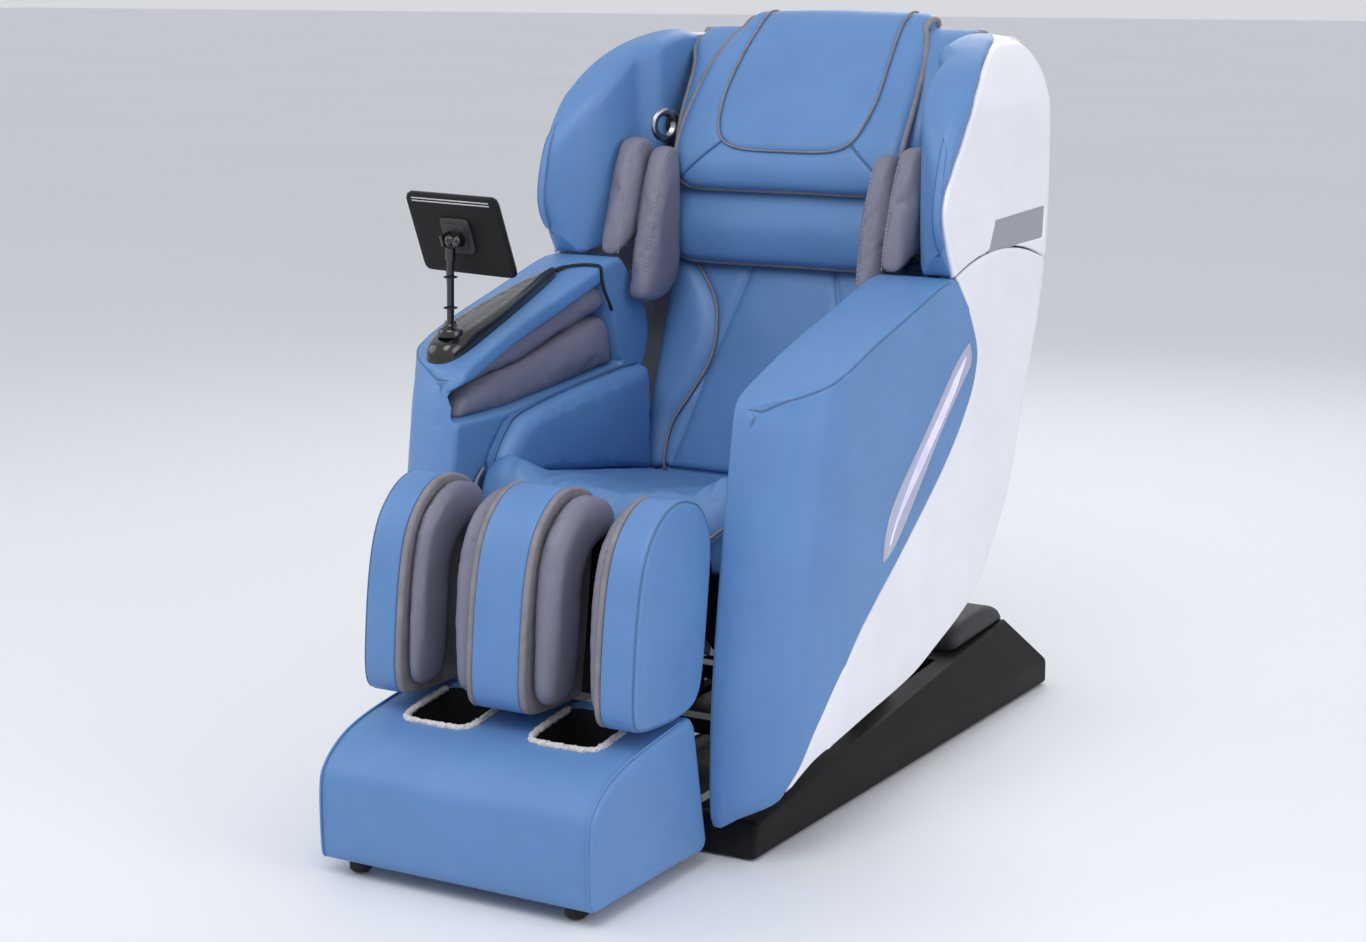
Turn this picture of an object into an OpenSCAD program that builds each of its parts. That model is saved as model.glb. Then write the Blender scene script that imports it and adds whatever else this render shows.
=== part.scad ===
// Full-body massage chair: a sliding, tilting seat body on a floor base, a reclining back with
// a roller carriage, a lifting calf rest with a telescoping foot rest, and a tablet on the right arm.
// Millimetres. +Z up, the sitter faces -Y, left is +X. Origin on the floor under the middle.

/* [Body] */
// Width over the side shells
body_w = 724; // [716:2:730]
// Clear width between the arms
seat_w = 464; // [462:2:466]
// Wall of the moulded shells
shell_t = 8; // [6:1:10]
/* [Back] */
// Width of the back cushion
back_w = 400; // [380:2:402]
// Distance between the two massage rails
rail_gauge = 300; // [290:2:306]
// Radius of a back roller
roller_r = 36; // [30:1:37]
/* [Leg rest] */
// Width of the calf rest
calf_w = 452; // [446:2:452]
// Width of one leg well
well_w = 113; // [108:1:115]
// Width of the centre calf wall
calf_mid_w = 96; // [88:2:100]
// Lean of the calf rest from the vertical, in degrees
calf_lean = 8; // [7:0.5:8.5]
/* [Base] */
// Width of the base cover
base_w = 566; // [550:2:570]
// Distance between the two floor slide rails
slide_gauge = 320; // [316:2:324]
/* [Tablet] */
// Width of the tablet
tablet_w = 196; // [180:2:196]
// Height of the tablet
tablet_h = 127; // [120:1:136]
/* [Hidden] */
$fn = 48;
side_x = body_w / 2;
arm_x = seat_w / 2;
well_x = calf_mid_w / 2 + well_w / 2;
recline_y = 285;
recline_z = 300;
tilt_y = 150;
tilt_z = 260;
leg_y = -378;
leg_z = 466;
seam_r = 521.5;
seam_gap = 1.5;
plate_t = 8;
carriage_plate_x = 206;
seat_plate_x = 192;
back_plate_x = 176;
pin_r = 12;
actuator_pin_r = 6;
run_gap = 0.05;
tilt_drive_x = -60;
leg_drive_x = 60;
rail_lean = atan(0.22);
rail_r = 8;
knead_y = 62;
knead_x = 74;
roller_y = 18;
roller_pitch = 56;
guide_x = 195;
guide_y = -110;
guide_rod_r = 10;
foot_roller_y = -530;
foot_roller_z = 56;
tablet_at = [-264, -291, 862];
tablet_yaw = -12;
tablet_back_lean = 19;
pole_x = -290;
pole_y = -286;
pole_z = 706;
hinge_back = 23;
wheel_y = 622;
wheel_z = 24;

BLUE = "cornflowerblue";
GREY = "slategray";
STEEL = "dimgray";

// Side-view outlines, each point [y, z], open runs that are joined into closed ones below.
arm_front = [[-407, 134], [-402, 230], [-384, 370], [-362, 500], [-346, 610], [-338, 650]];
arm_top = [[-324, 668], [-262, 692], [-170, 722], [-50, 754], [60, 784], [111, 791]];
blue_edge = [[163, 739], [194, 686], [197, 648], [170, 594], [86, 510], [-64, 398], [-190, 300],
             [-311, 205], [-407, 134]];
nose_edge = [[-411, 110], [-410, 70], [-396, 50], [-378, 58], [-368, 96]];
lower_rear = [[463, 787], [440, 700], [393, 583], [337, 437], [266, 340], [207, 274], [90, 225],
              [8, 203], [-199, 160], [-304, 138], [-350, 118]];
wing_rim = [[466, 800], [473, 893], [470, 1043], [458, 1095], [428, 1134], [370, 1150], [290, 1138],
            [215, 1108], [150, 1064], [100, 1010], [70, 950], [60, 870], [106, 796]];
slot_roof = [[60, 757], [-50, 726], [-170, 694], [-262, 664], [-330, 643], [-430, 628]];
slot_floor = [[-430, 588], [-200, 588], [-40, 600], [112, 616]];
// Calf rest seen from the side before its lean, from the lift pivot.
calf_outline = [[-30, -226], [-30, -20], [-37, 19], [-70, 50], [-120, 66], [-172, 74], [-212, 68],
                [-221, 40], [-219, 0], [-212, -130], [-207, -254]];
// Front-view limit of the side panels, each point [x, z] outward from the seat.
panel_section = [[220, 40], [262, 50], [290, 68], [328, 96], [350, 136], [359, 190], [362, 260],
                 [362, 1000], [357, 1060], [342, 1110], [318, 1142], [296, 1152], [220, 1152]];
// Plan-view limit of the side panels, each point [x, y].
panel_plan = [[220, -412], [296, -412], [326, -400], [344, -366], [352, -310], [360, -250],
              [362, -200], [362, 714], [220, 714]];

// Smooth curve through open points, n steps a span.
function spline_at(a, b, c, d, t) =
  0.5 * ((2 * b) + (c - a) * t + (2 * a - 5 * b + 4 * c - d) * t * t + (3 * b - a - 3 * c + d) * t * t * t);
function curve(p, n = 3) = [
  for (i = [0 : len(p) - 2], k = [0 : n - 1])
    spline_at(p[max(i - 1, 0)], p[i], p[i + 1], p[min(i + 2, len(p) - 1)], k / n),
  p[len(p) - 1]
];
function arc(cy, cz, r, a0, a1, n = 10) = [
  for (k = [0 : n]) let (a = a0 + (a1 - a0) * k / n) [cy + r * cos(a), cz + r * sin(a)]
];
function reversed(p) = [for (k = [len(p) - 1 : -1 : 0]) p[k]];
function shifted(p, dy, dz) = [for (q = p) [q[0] + dy, q[1] + dz]];
// The seam between seat body and back is an arc about the recline pivot, so it can slide.
function seam_angle(y) = acos((y - recline_y) / seam_r);
function seam(offset_r, y0, y1) =
  arc(recline_y, recline_z, seam_r + offset_r, seam_angle(y0), seam_angle(y1));

blue_outline = concat(curve(concat(arm_front, arm_top)), curve(blue_edge));
white_outline = concat(curve(reversed(blue_edge)), seam(-seam_gap, 116, 462), curve(lower_rear));
nose_outline = concat([[-407, 134]], curve(nose_edge), [[-350, 118], [-350, 172]]);
upper_outline = concat(seam(seam_gap, 112, 466), curve(wing_rim));

// A side-view outline extruded across the chair from x0 to x1.
module across(x0, x1, p) {
  translate([x0, 0, 0]) rotate([90, 0, 90]) linear_extrude(x1 - x0) polygon(p);
}
module rod_x(y, z, r, x0, x1) {
  translate([x0, y, z]) rotate([0, 90, 0]) cylinder(r = r, h = x1 - x0);
}
module block(x0, x1, y0, y1, z0, z1) {
  translate([x0, y0, z0]) cube([x1 - x0, y1 - y0, z1 - z0]);
}
module mirrored() {
  children();
  mirror([1, 0, 0]) children();
}
// The body of a left side panel between two x planes, rounded in front view and in plan.
module panel(x0, x1, p) {
  intersection() {
    across(x0, x1, p);
    translate([side_x - 362, 800, 0]) rotate([90, 0, 0]) linear_extrude(1300) polygon(panel_section);
    translate([side_x - 362, 0, 0]) linear_extrude(1200) polygon(panel_plan);
  }
}
module skin(p) {
  difference() {
    panel(arm_x, side_x, p);
    translate([-shell_t, 0, 0]) panel(0, side_x + shell_t, p);
  }
}
module lean_calf() {
  translate([0, leg_y, leg_z]) rotate([-calf_lean, 0, 0]) children();
}
// Along the massage rails: local z runs up the rail, local y points to the rear.
module on_rail(z) {
  translate([0, 238 + 0.22 * (z - 440), z]) rotate([-rail_lean, 0, 0]) children();
}

// ---- Base ----
module base_frame() color(STEEL) mirrored() difference() {
  block(slide_gauge / 2 - 20, slide_gauge / 2 + 20, -330, 640, 14, 40);
  rod_x(wheel_y, wheel_z, 6 + run_gap, 0, 300);
}
module base_crossbars() color(STEEL) {
  for (y = [-300, 40, 560]) block(-slide_gauge / 2 + 20, slide_gauge / 2 - 20, y, y + 40, 14, 40);
  mirrored() for (y = [-300, 560]) block(slide_gauge / 2 + 20, base_w / 2 - 10, y, y + 40, 14, 34);
}
module base_form(t) {
  intersection() {
    across(-base_w, base_w, [[-370 + t, -t], [-352 + t, 50 - t], [636 - t, 126 - t], [714 - t, 42 - t],
                             [714 - t, -t]]);
    translate([0, 800, 0]) rotate([90, 0, 0]) linear_extrude(1300)
      polygon([[-base_w / 2 + t, -t], [-base_w / 2 + t, 42 - t], [-base_w / 2 + 50 + t, 128 - t],
               [base_w / 2 - 50 - t, 128 - t], [base_w / 2 - t, 42 - t], [base_w / 2 - t, -t]]);
  }
}
module base_cover() color("black") difference() {
  translate([0, 0, 3]) base_form(0);
  translate([0, 0, 2]) base_form(4);
  block(-226, 226, -330, 420, 44, 200);
  block(-60, 60, 660, 740, 17, 37);
}
module base_hood() color("darkslategray") across(-200, 200,
  curve([[434, 113.8], [434, 142], [470, 160], [560, 165], [616, 153], [636, 129.5]]));
module base_feet() color("black") {
  mirrored() for (y = [-310, 580]) translate([slide_gauge / 2, y, 0]) cylinder(r = 22, h = 14);
}
module slide_rails() color("silver") {
  mirrored() block(slide_gauge / 2 - 9, slide_gauge / 2 + 9, -325, 330, 40, 58);
  translate([0, -240, 62]) rotate([-90, 0, 0]) cylinder(r = 7, h = 484);
  block(-30, 30, 244, 330, 40, 92);
  block(-16, 16, -260, -240, 40, 78);
}
module power_inlet() color("black") difference() {
  block(-60, 60, 698, 713, 17, 37);
  block(-52, -26, 704, 720, 20, 34);
  block(20, 50, 704, 720, 20, 34);
}
module power_switch() color("firebrick") intersection() {
  rod_x(708, 27, 6, 22, 48);
  block(15, 55, 706.3, 730, 10, 50);
}
module control_box() color("silver") block(-120, 120, 490, 600, 40, 98);
module transport_wheels() color("black") {
  rod_x(wheel_y, wheel_z, 6, -240, 240);
  mirrored() rod_x(wheel_y, wheel_z, 19, 216, 240);
}

// ---- Carriage on the slide rails ----
module carriage_frame() color(STEEL) {
  mirrored() for (y = [-90, 170]) difference() {
    block(slide_gauge / 2 - 18, slide_gauge / 2 + 18, y, y + 60, 46, 78);
    block(slide_gauge / 2 - 9.5, slide_gauge / 2 + 9.5, y - 1, y + 61, 40, 58.5);
  }
  mirrored() block(slide_gauge / 2 - 15, slide_gauge / 2 + 15, -110, 250, 78, 104);
  for (y = [-90, 190]) block(-slide_gauge / 2 + 15, slide_gauge / 2 - 15, y, y + 30, 80, 104);
  mirrored() block(slide_gauge / 2 + 15, carriage_plate_x + plate_t, 84, 216, 92, 104);
  mirrored() difference() {
    across(carriage_plate_x, carriage_plate_x + plate_t,
           concat([[84, 104], [216, 104]], arc(tilt_y, tilt_z, 30, 10, 170)));
    rod_x(tilt_y, tilt_z, pin_r + run_gap, 190, 230);
  }
  translate([tilt_drive_x, 0, 0]) tail_bracket(-60, 118, [[-90, 90], [-60, 90]]);
}
// Two ears and their pin, which carry an actuator's tail; foot is the outline's open end.
module tail_bracket(y, z, foot) {
  for (x = [-16, 9]) across(x, x + 7, concat(foot, arc(y, z, 15, 0, 180)));
  rod_x(y, z, actuator_pin_r, -16, 16);
}

// A linear actuator laid along local +Z from its tail pin at the origin, motor on the side given.
module barrel(length, side) {
  difference() {
    union() {
      rod_x(0, 0, 12, -8, 8);
      translate([-8, -8, 0]) cube([16, 16, 26]);
    }
    rod_x(0, 0, actuator_pin_r + run_gap, -10, 10);
  }
  difference() {
    translate([0, 0, 24]) cylinder(r = 20, h = length - 24);
    translate([0, 0, 34]) cylinder(r = 10.1, h = length);
  }
  difference() {
    translate([-17, min(side * 14, side * 44), 26]) cube([34, 30, 84]);
    cylinder(r = 20, h = length);
  }
}
// The ram ends in an open fork that straddles a lug on the part it drives.
module ram(start, end, reach) {
  translate([0, 0, start]) cylinder(r = 10, h = end - start - reach);
  difference() {
    translate([-13, -10, end - reach - 10]) cube([26, 20, reach + 18]);
    translate([-6.5, -20, end - reach]) cube([13, 40, 2 * reach + 40]);
  }
}
module along(x, from, to) {
  translate([x, from[0], from[1]]) rotate([atan2(from[0] - to[0], to[1] - from[1]), 0, 0]) children();
}
tilt_tail = [-60, 118];
tilt_tip = [-250, 348];
recline_tail = [-110, 330];
recline_tip = [250, 205];
leg_tail = [-20, 236];
leg_tip = [-378, 336];
module tilt_barrel() color("silver") along(tilt_drive_x, tilt_tail, tilt_tip) barrel(200, 1);
module tilt_ram() color("gray") along(tilt_drive_x, tilt_tail, tilt_tip) ram(60, 298.3, 24);
module recline_barrel() color("silver") along(0, recline_tail, recline_tip) barrel(250, 1);
module recline_ram() color("gray") along(0, recline_tail, recline_tip) ram(100, 381.1, 26);
module leg_barrel() color("silver") along(leg_drive_x, leg_tail, leg_tip) barrel(230, -1);
module leg_ram() color("gray") along(leg_drive_x, leg_tail, leg_tip) ram(40, 371.7, 48);

// ---- Seat body ----
// Ears that hang from a cross tube, with the actuator's tail pin.
module hung_bracket(y, z, foot) {
  for (x = [-16, 9]) across(x, x + 7, concat(foot, arc(y, z, 15, 180, 360)));
  rod_x(y, z, actuator_pin_r, -16, 16);
}
module seat_frame() color(STEEL) {
  mirrored() difference() {
    across(seat_plate_x, seat_plate_x + plate_t, concat(
      arc(leg_y, leg_z, 18, 180, 0), [[-356, 440], [-346, 399], [150, 399], [250, 360]],
      arc(recline_y, recline_z, 28, 80, -70), [[190, 236]], arc(tilt_y, tilt_z, 28, -50, -120),
      [[-330, 292], [-390, 350]]));
    rod_x(leg_y, leg_z, pin_r + run_gap, 180, 220);
    rod_x(recline_y, recline_z, pin_r + run_gap, 180, 220);
  }
  mirrored() rod_x(tilt_y, tilt_z, pin_r, seat_plate_x, carriage_plate_x + plate_t);
  block(-seat_plate_x, seat_plate_x, -336, 146, 393, 399);
  rod_x(-262, 383, 9, -arm_x, arm_x);
  rod_x(-110, 376, 10, -seat_plate_x, seat_plate_x);
  rod_x(120, 376, 10, -arm_x, arm_x);
  rod_x(6, 264, 9, 40, seat_plate_x);
  translate([tilt_drive_x, 0, 0]) across(-5, 5, concat(
    [[-252, 386], [-268, 386]], arc(tilt_tip[0], tilt_tip[1], 13, 180, 360)));
  hung_bracket(recline_tail[0], recline_tail[1], [[-102, 378], [-118, 378]]);
  translate([leg_drive_x, 0, 0]) hung_bracket(leg_tail[0], leg_tail[1], [[10, 266], [-2, 270]]);
}
module seat_cushion() color(BLUE) {
  across(-226, 226, concat([[150, 400], [-336, 400]], curve([[-341, 410], [-345, 445], [-338, 472],
    [-314, 486], [-200, 478], [0, 452], [150, 430]])));
  mirrored() across(150, 226, curve([[-312, 480], [-316, 508], [-290, 520], [-252, 512], [-240, 476]]));
}
module hip_pads() color(BLUE) mirrored() across(190, arm_x, concat(
  curve([[-232, 500], [-228, 519], [-198, 554], [-85, 585], [34, 592], [127, 604], [150, 598]]),
  [[150, 432], [0, 454], [-200, 481], [-232, 486]]));
slot_outline = concat(slot_floor, curve(slot_roof));
strip_outline = concat(curve([[164, 688], [113, 659], [11, 573], [-85, 494], [-123, 442], [-132, 398]]),
                       curve([[-83, 425], [-4, 499], [67, 568], [173, 656]]));
module arm() color(BLUE) difference() {
  panel(arm_x, side_x, blue_outline);
  across(arm_x - 1, 335, slot_outline);
  across(side_x - 4, side_x + 1, strip_outline);
}
module arm_left() arm();
module arm_right() mirror([1, 0, 0]) arm();
module side_shell() color("whitesmoke") {
  skin(white_outline);
  panel(arm_x, side_x, nose_outline);
}
module side_shell_left() side_shell();
module side_shell_right() mirror([1, 0, 0]) side_shell();
module arm_airbags() color(GREY) mirrored() {
  across(arm_x + 4, 330, [[-330, 589], [-200, 589], [-40, 601], [104, 616.5], [90, 649], [-40, 634],
                          [-200, 622], [-330, 612]]);
  across(arm_x + 4, 330, [[58, 752], [62, 728], [-50, 700], [-170, 668], [-262, 638], [-326, 624],
                          [-330, 639], [-262, 659], [-170, 688], [-50, 720]]);
}
module light_strips() color("lavender") mirrored() across(side_x - 4, side_x, strip_outline);
module air_pump() color("black") {
  block(100, 186, -94, 60, 320, 392.5);
  rod_x(-70, 340, 16, 86, 100);
  rod_x(20, 340, 16, 86, 100);
}
tablet_base_outline = concat([[20, 730], [-330, 630]],
  curve([[-328, 694], [-262, 718], [-170, 742], [-50, 773], [0, 786], [20, 778]]));
module tablet_base() color("black") intersection() {
  difference() {
    across(-340, -240, tablet_base_outline);
    mirror([1, 0, 0]) across(200, 380, blue_outline);
  }
  difference() {
    union() {
      for (y = [-294, -18]) translate([-292, y, 600]) cylinder(r = 30, h = 240);
      block(-322, -262, -294, -18, 600, 840);
    }
    translate([pole_x, pole_y, pole_z - 0.3]) cylinder(r = 21, h = 60);
  }
}
// A round lead along its own points: a ring square to the path at each one.
lead_r = 2.5;
lead_route = [[-292, 12.1, 776], [-291, 18, 777.5], [-288, 26, 779.5], [-282, 33, 781], [-273, 39, 782.5],
              [-263, 43, 783.5], [-252, 45, 784], [-242, 45, 784], [-234, 45, 783.6], [-229.6, 45, 781.5],
              [-228, 45, 775], [-227.8, 46, 765], [-227.8, 48, 754], [-227.8, 53, 743], [-228, 61, 732],
              [-228.6, 69, 722], [-230, 76, 714], [-232, 82, 708]];
function unit(v) = v / norm(v);
function heading(p, i) = unit(p[min(i + 1, len(p) - 1)] - p[max(i - 1, 0)]);
module tube(p, r, sides = 8) {
  polyhedron(
    points = [for (i = [0 : len(p) - 1]) let (t = heading(p, i), u = unit(cross(t, [0.3, 0.1, 1])), v = cross(t, u))
      for (k = [0 : sides - 1]) p[i] + r * (u * cos(360 * k / sides) + v * sin(360 * k / sides))],
    faces = concat(
      [for (i = [0 : len(p) - 2], k = [0 : sides - 1]) let (a = i * sides + k, b = i * sides + (k + 1) % sides)
        [a, b, b + sides, a + sides]],
      [[for (k = [sides - 1 : -1 : 0]) k], [for (k = [0 : sides - 1]) (len(p) - 1) * sides + k]]));
}
module tablet_lead() color("black") tube(lead_route, lead_r);

// ---- Back ----
rear_line = [[330, 437], [386, 583], [433, 700], [461, 800], [468, 893], [466, 1043], [458, 1088]];
module back_frame() color(STEEL) {
  mirrored() across(back_plate_x, back_plate_x + plate_t, concat(
    [[259, 300]], arc(300, 255, 14, 200, 340), [[311, 300]], shifted(curve(rear_line), -7.5, 0),
    [[367, 1100], [220, 430]]));
  mirrored() rod_x(recline_y, recline_z, pin_r, back_plate_x, seat_plate_x + plate_t + 2);
  rod_x(300, 255, 10, -back_plate_x - 4, back_plate_x + 4);
  across(-5, 5, concat([[308, 262], [292, 250]], arc(recline_tip[0], recline_tip[1], 13, 150, 330)));
  on_rail(440) {
    mirrored() translate([rail_gauge / 2, 0, -8]) cylinder(r = rail_r, h = 686);
    block(-back_plate_x - 4, back_plate_x + 4, -12, 14, -10, -4);
    block(-back_plate_x - 4, back_plate_x + 4, -12, 30, 668, 676);
  }
}
module back_pad(x0, x1, bulge) {
  across(x0, x1, concat([[210, 434], [284, 770]],
    curve([[262 - bulge, 768], [246 - bulge, 700], [215 - bulge, 600], [186 - bulge, 520], [165 - bulge, 450],
           [172, 434]])));
}
module back_cushion() color(BLUE) back_pad(-back_w / 2, back_w / 2, 0);
module side_bolsters() color(BLUE) mirrored() back_pad(back_w / 2 + 0.5, 216, 12);
module neck_pad() color(BLUE) across(-210, 210, concat([[285, 772], [312, 900]],
  curve([[262, 900], [242, 884], [236, 840], [246, 796], [262, 772]])));
module head_pillow() color(BLUE) intersection() {
  across(-216, 216, concat([[314, 902], [352, 1108], [452, 1108]],
    curve([[470, 1130], [470, 1164], [448, 1180], [424, 1176], [385, 1152], [330, 1098], [262, 1000],
           [238, 930], [252, 902]])));
  translate([0, 800, 0]) rotate([90, 0, 0]) linear_extrude(800) polygon(concat(
    curve([[216, 900], [216, 1000], [196, 1080], [158, 1140], [118, 1181]]),
    curve([[-118, 1181], [-158, 1140], [-196, 1080], [-216, 1000], [-216, 900]])));
}
// The front-view section of the wing swept from front to rear, moved inward by inset.
module wing_sweep(inset) {
  translate([side_x - 362 - inset, 800, 0]) rotate([90, 0, 0]) linear_extrude(800) polygon(panel_section);
}
// In plan, the hollow side of a wing opens out towards its front rim. Each point [x, y].
wing_hollow = concat([[200, -20], [346, -20], [346, 58]], curve([[346, 58], [332, 80], [312, 104],
  [294, 130], [282, 158], [276.5, 190], [276.5, 236]]), [[252, 272], [200, 272]]);
module wing() color(BLUE) difference() {
  intersection() {
    across(252, side_x, upper_outline);
    wing_sweep(shell_t);
  }
  translate([0, 0, 700]) linear_extrude(500) polygon(wing_hollow);
}
module wing_left() wing();
module wing_right() mirror([1, 0, 0]) wing();
vent_outline = [[268, 863], [457, 874], [452, 832], [236, 828]];
module upper_shell() color("whitesmoke") difference() {
  intersection() {
    across(252, side_x, upper_outline);
    wing_sweep(0);
  }
  wing_sweep(shell_t);
  across(side_x - shell_t - 1, side_x + 1, vent_outline);
}
module upper_shell_left() upper_shell();
module upper_shell_right() mirror([1, 0, 0]) upper_shell();
module shell_vents() color(GREY) mirrored() across(side_x - shell_t, side_x - 1, vent_outline);
module rear_cover() color("whitesmoke")
  across(-226, 226, concat(curve(rear_line), reversed(shifted(curve(rear_line), -7, 0))));
// Each shoulder has two pads side by side: an inner one by the neck, and an outer one on the wing.
inner_airbag_outline = curve([[150, 716], [112, 726], [116, 770], [128, 830], [146, 890], [166, 940],
  [186, 964], [214, 966], [230, 950], [231, 880], [231, 800], [224, 752], [190, 724], [150, 716]]);
outer_airbag_outline = concat([[104, 780], [112, 830]], curve([[112, 830], [128, 880], [148, 935],
  [168, 970], [190, 980], [216, 976], [231, 960]]), [[231, 780]]);
module shoulder_airbags() color(GREY) mirrored() {
  across(182, 224, inner_airbag_outline);
  difference() {
    across(230, 275, outer_airbag_outline);
    rod_x(recline_y, recline_z, seam_r + seam_gap, 220, 280);
  }
}
module speakers() color("silver") mirrored() difference() {
  rod_x(300, 1020, 24, 242, 252);
  rod_x(300, 1020, 17, 240, 246);
}

// ---- Massage carriage inside the back ----
module massage_chassis() color(STEEL) on_rail(640) {
  mirrored() difference() {
    union() {
      translate([rail_gauge / 2, 0, -46]) cylinder(r = 15, h = 92);
      block(rail_gauge / 2 - 7, rail_gauge / 2 + 7, 0, 80, -46, 46);
    }
    translate([rail_gauge / 2, 0, -60]) cylinder(r = rail_r + run_gap, h = 120);
  }
  block(-rail_gauge / 2, rail_gauge / 2, 78, 84, -42, 42);
  rod_x(knead_y, 0, 8, -110, 110);
  mirrored() block(108, 116, knead_y - 14, 80, -13, 13);
  block(-56, 56, 84, 90, -30, 20);
}
module knead_arm() color("silver") on_rail(640) difference() {
  union() {
    rod_x(knead_y, 0, 15, knead_x - 8, knead_x + 8);
    across(knead_x - 4, knead_x + 4, concat(
      arc(knead_y, 0, 14, -60, 60, 4), arc(roller_y, roller_pitch, 9, 40, 220, 6),
      [[knead_y - 18, 0]], arc(roller_y, -roller_pitch, 9, 140, 320, 6)));
    for (s = [-1, 1]) rod_x(roller_y, s * roller_pitch, 6, knead_x - 4, knead_x + 30);
  }
  rod_x(knead_y, 0, 8 + run_gap, 0, 140);
}
module knead_arm_left() knead_arm();
module knead_arm_right() mirror([1, 0, 0]) knead_arm();
module roller(s) color("black") on_rail(640) difference() {
  translate([knead_x + 5, roller_y, s * roller_pitch]) rotate([0, 90, 0]) rotate_extrude()
    polygon([[0, 0], [roller_r - 8, 0], [roller_r - 2, 4], [roller_r, 12], [roller_r - 2, 20],
             [roller_r - 8, 24], [0, 24]]);
  rod_x(roller_y, s * roller_pitch, 6 + run_gap, 0, 140);
}
module roller_left_upper() roller(1);
module roller_left_lower() roller(-1);
module roller_right_upper() mirror([1, 0, 0]) roller(1);
module roller_right_lower() mirror([1, 0, 0]) roller(-1);

// ---- Leg rest ----
panel_rear = -30;
panel_front = -42;
calf_half = calf_w / 2;
module leg_frame() color(STEEL) {
  lean_calf() {
    block(4 - calf_half, calf_half - 4, panel_front, panel_rear, -222, 8);
    mirrored() {
      across(back_plate_x, back_plate_x + plate_t,
             concat(arc(0, 0, 16, -40, 140), [[panel_rear - 4, -10], [panel_rear - 4, -80]]));
      rod_x(0, 0, pin_r, back_plate_x, seat_plate_x + plate_t + 2);
      difference() {
        union() {
          translate([guide_x, guide_y, -220]) cylinder(r = 15, h = 200);
          block(guide_x - 4, guide_x + 4, guide_y, panel_rear - 4, -220, -20);
        }
        translate([guide_x, guide_y, -240]) cylinder(r = guide_rod_r + run_gap, h = 240);
      }
    }
  }
  translate([leg_drive_x, 0, 0]) across(-5, 5, concat(
    arc(leg_tip[0], leg_tip[1], 13, -90, 90), [[-426, 372], [-430, 320]]));
}
module calf_box(x0, x1) color(BLUE) lean_calf() difference() {
  across(x0, x1, curve_closed_calf);
  block(-300, 300, panel_front, 0, -300, 8);
  mirrored() block(guide_x - 16, guide_x + 16, guide_y - 16, 0, -300, -16);
}
curve_closed_calf = concat([[-30, -226], [-30, -20]], curve([for (k = [2 : 8]) calf_outline[k]]),
                           [[-212, -130], [-207, -254]]);
module calf_box_left() calf_box(well_x + well_w / 2, calf_half);
module calf_box_right() mirror([1, 0, 0]) calf_box(well_x + well_w / 2, calf_half);
module calf_box_centre() calf_box(-calf_mid_w / 2, calf_mid_w / 2);
module calf_airbags() color(GREY) mirrored() lean_calf() {
  across(calf_mid_w / 2, calf_mid_w / 2 + 36, [[-58, -228], [-58, 36], [-120, 52], [-208, 50], [-204, -248]]);
  across(well_x + well_w / 2 - 20, well_x + well_w / 2,
         [[-58, -228], [-58, 36], [-120, 52], [-208, 50], [-204, -248]]);
  block(calf_mid_w / 2, well_x + well_w / 2, -58, panel_front, -226, 8);
}

// ---- Foot rest ----
foot_outline = concat([[-470, 226], [-414, 22], [-706, 22]],
  curve([[-713.5, 40], [-713, 130], [-700, 160], [-663, 187], [-620, 203], [-558, 214], [-470, 226]]));
foot_well_outline = [[-625, 320], [-625, 192], [-684, 134], [-690, 48], [-438, 48], [-484, 236], [-486, 320]];
module foot_box() color(BLUE) {
  difference() {
    across(-calf_half - 1, calf_half + 1, foot_outline);
    mirrored() across(well_x - well_w / 2, well_x + well_w / 2 + 4, foot_well_outline);
    mirrored() rod_x(foot_roller_y, foot_roller_z, 20, 56, 158);
    rod_x(foot_roller_y, foot_roller_z, 5 + run_gap, -180, 180);
  }
  mirrored() lean_calf() translate([guide_x, guide_y, -300]) cylinder(r = guide_rod_r, h = 240);
}
module foot_glides() color("black") mirrored()
  for (y = [-680, -440]) translate([180, y, 3]) cylinder(r = 16, h = 19);
module foot_rollers() color("black") {
  rod_x(foot_roller_y, foot_roller_z, 5, -178, 178);
  mirrored() for (x = [62, 112]) rod_x(foot_roller_y, foot_roller_z, 17, x, x + 40);
}

// ---- Tablet ----
// Local x along the tablet, y towards the sitter, z up, origin at the tilt hinge behind it.
module at_tablet() {
  translate(tablet_at) rotate([0, 0, tablet_yaw]) rotate([tablet_back_lean, 0, 0])
    translate([0, -hinge_back, 0]) children();
}
hinge_at = [tablet_at[0] + sin(tablet_yaw) * hinge_back * cos(tablet_back_lean),
            tablet_at[1] - cos(tablet_yaw) * hinge_back * cos(tablet_back_lean),
            tablet_at[2] - hinge_back * sin(tablet_back_lean)];
pole_foot = [pole_x, pole_y, pole_z];
module tablet_pole() color("black") {
  translate(pole_foot) cylinder(r = 20, h = 14);
  let (v = hinge_at - pole_foot) translate(pole_foot)
    rotate([0, acos(v[2] / norm(v)), atan2(v[1], v[0])]) translate([0, 0, 5]) cylinder(r = 6, h = norm(v) - 8);
  at_tablet() {
    rod_x(0, 0, 8, -8.7, 8.7);
    rod_x(0, 0, 4, -15, 15);
  }
}
module rounded_slab(w, h, r, y0, y1) {
  translate([0, y1, 0]) rotate([90, 0, 0]) linear_extrude(y1 - y0) {
    square([w - 2 * r, h], center = true);
    square([w, h - 2 * r], center = true);
    for (x = [-1, 1], z = [-1, 1]) translate([x * (w / 2 - r), z * (h / 2 - r)]) circle(r = r);
  }
}
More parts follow.
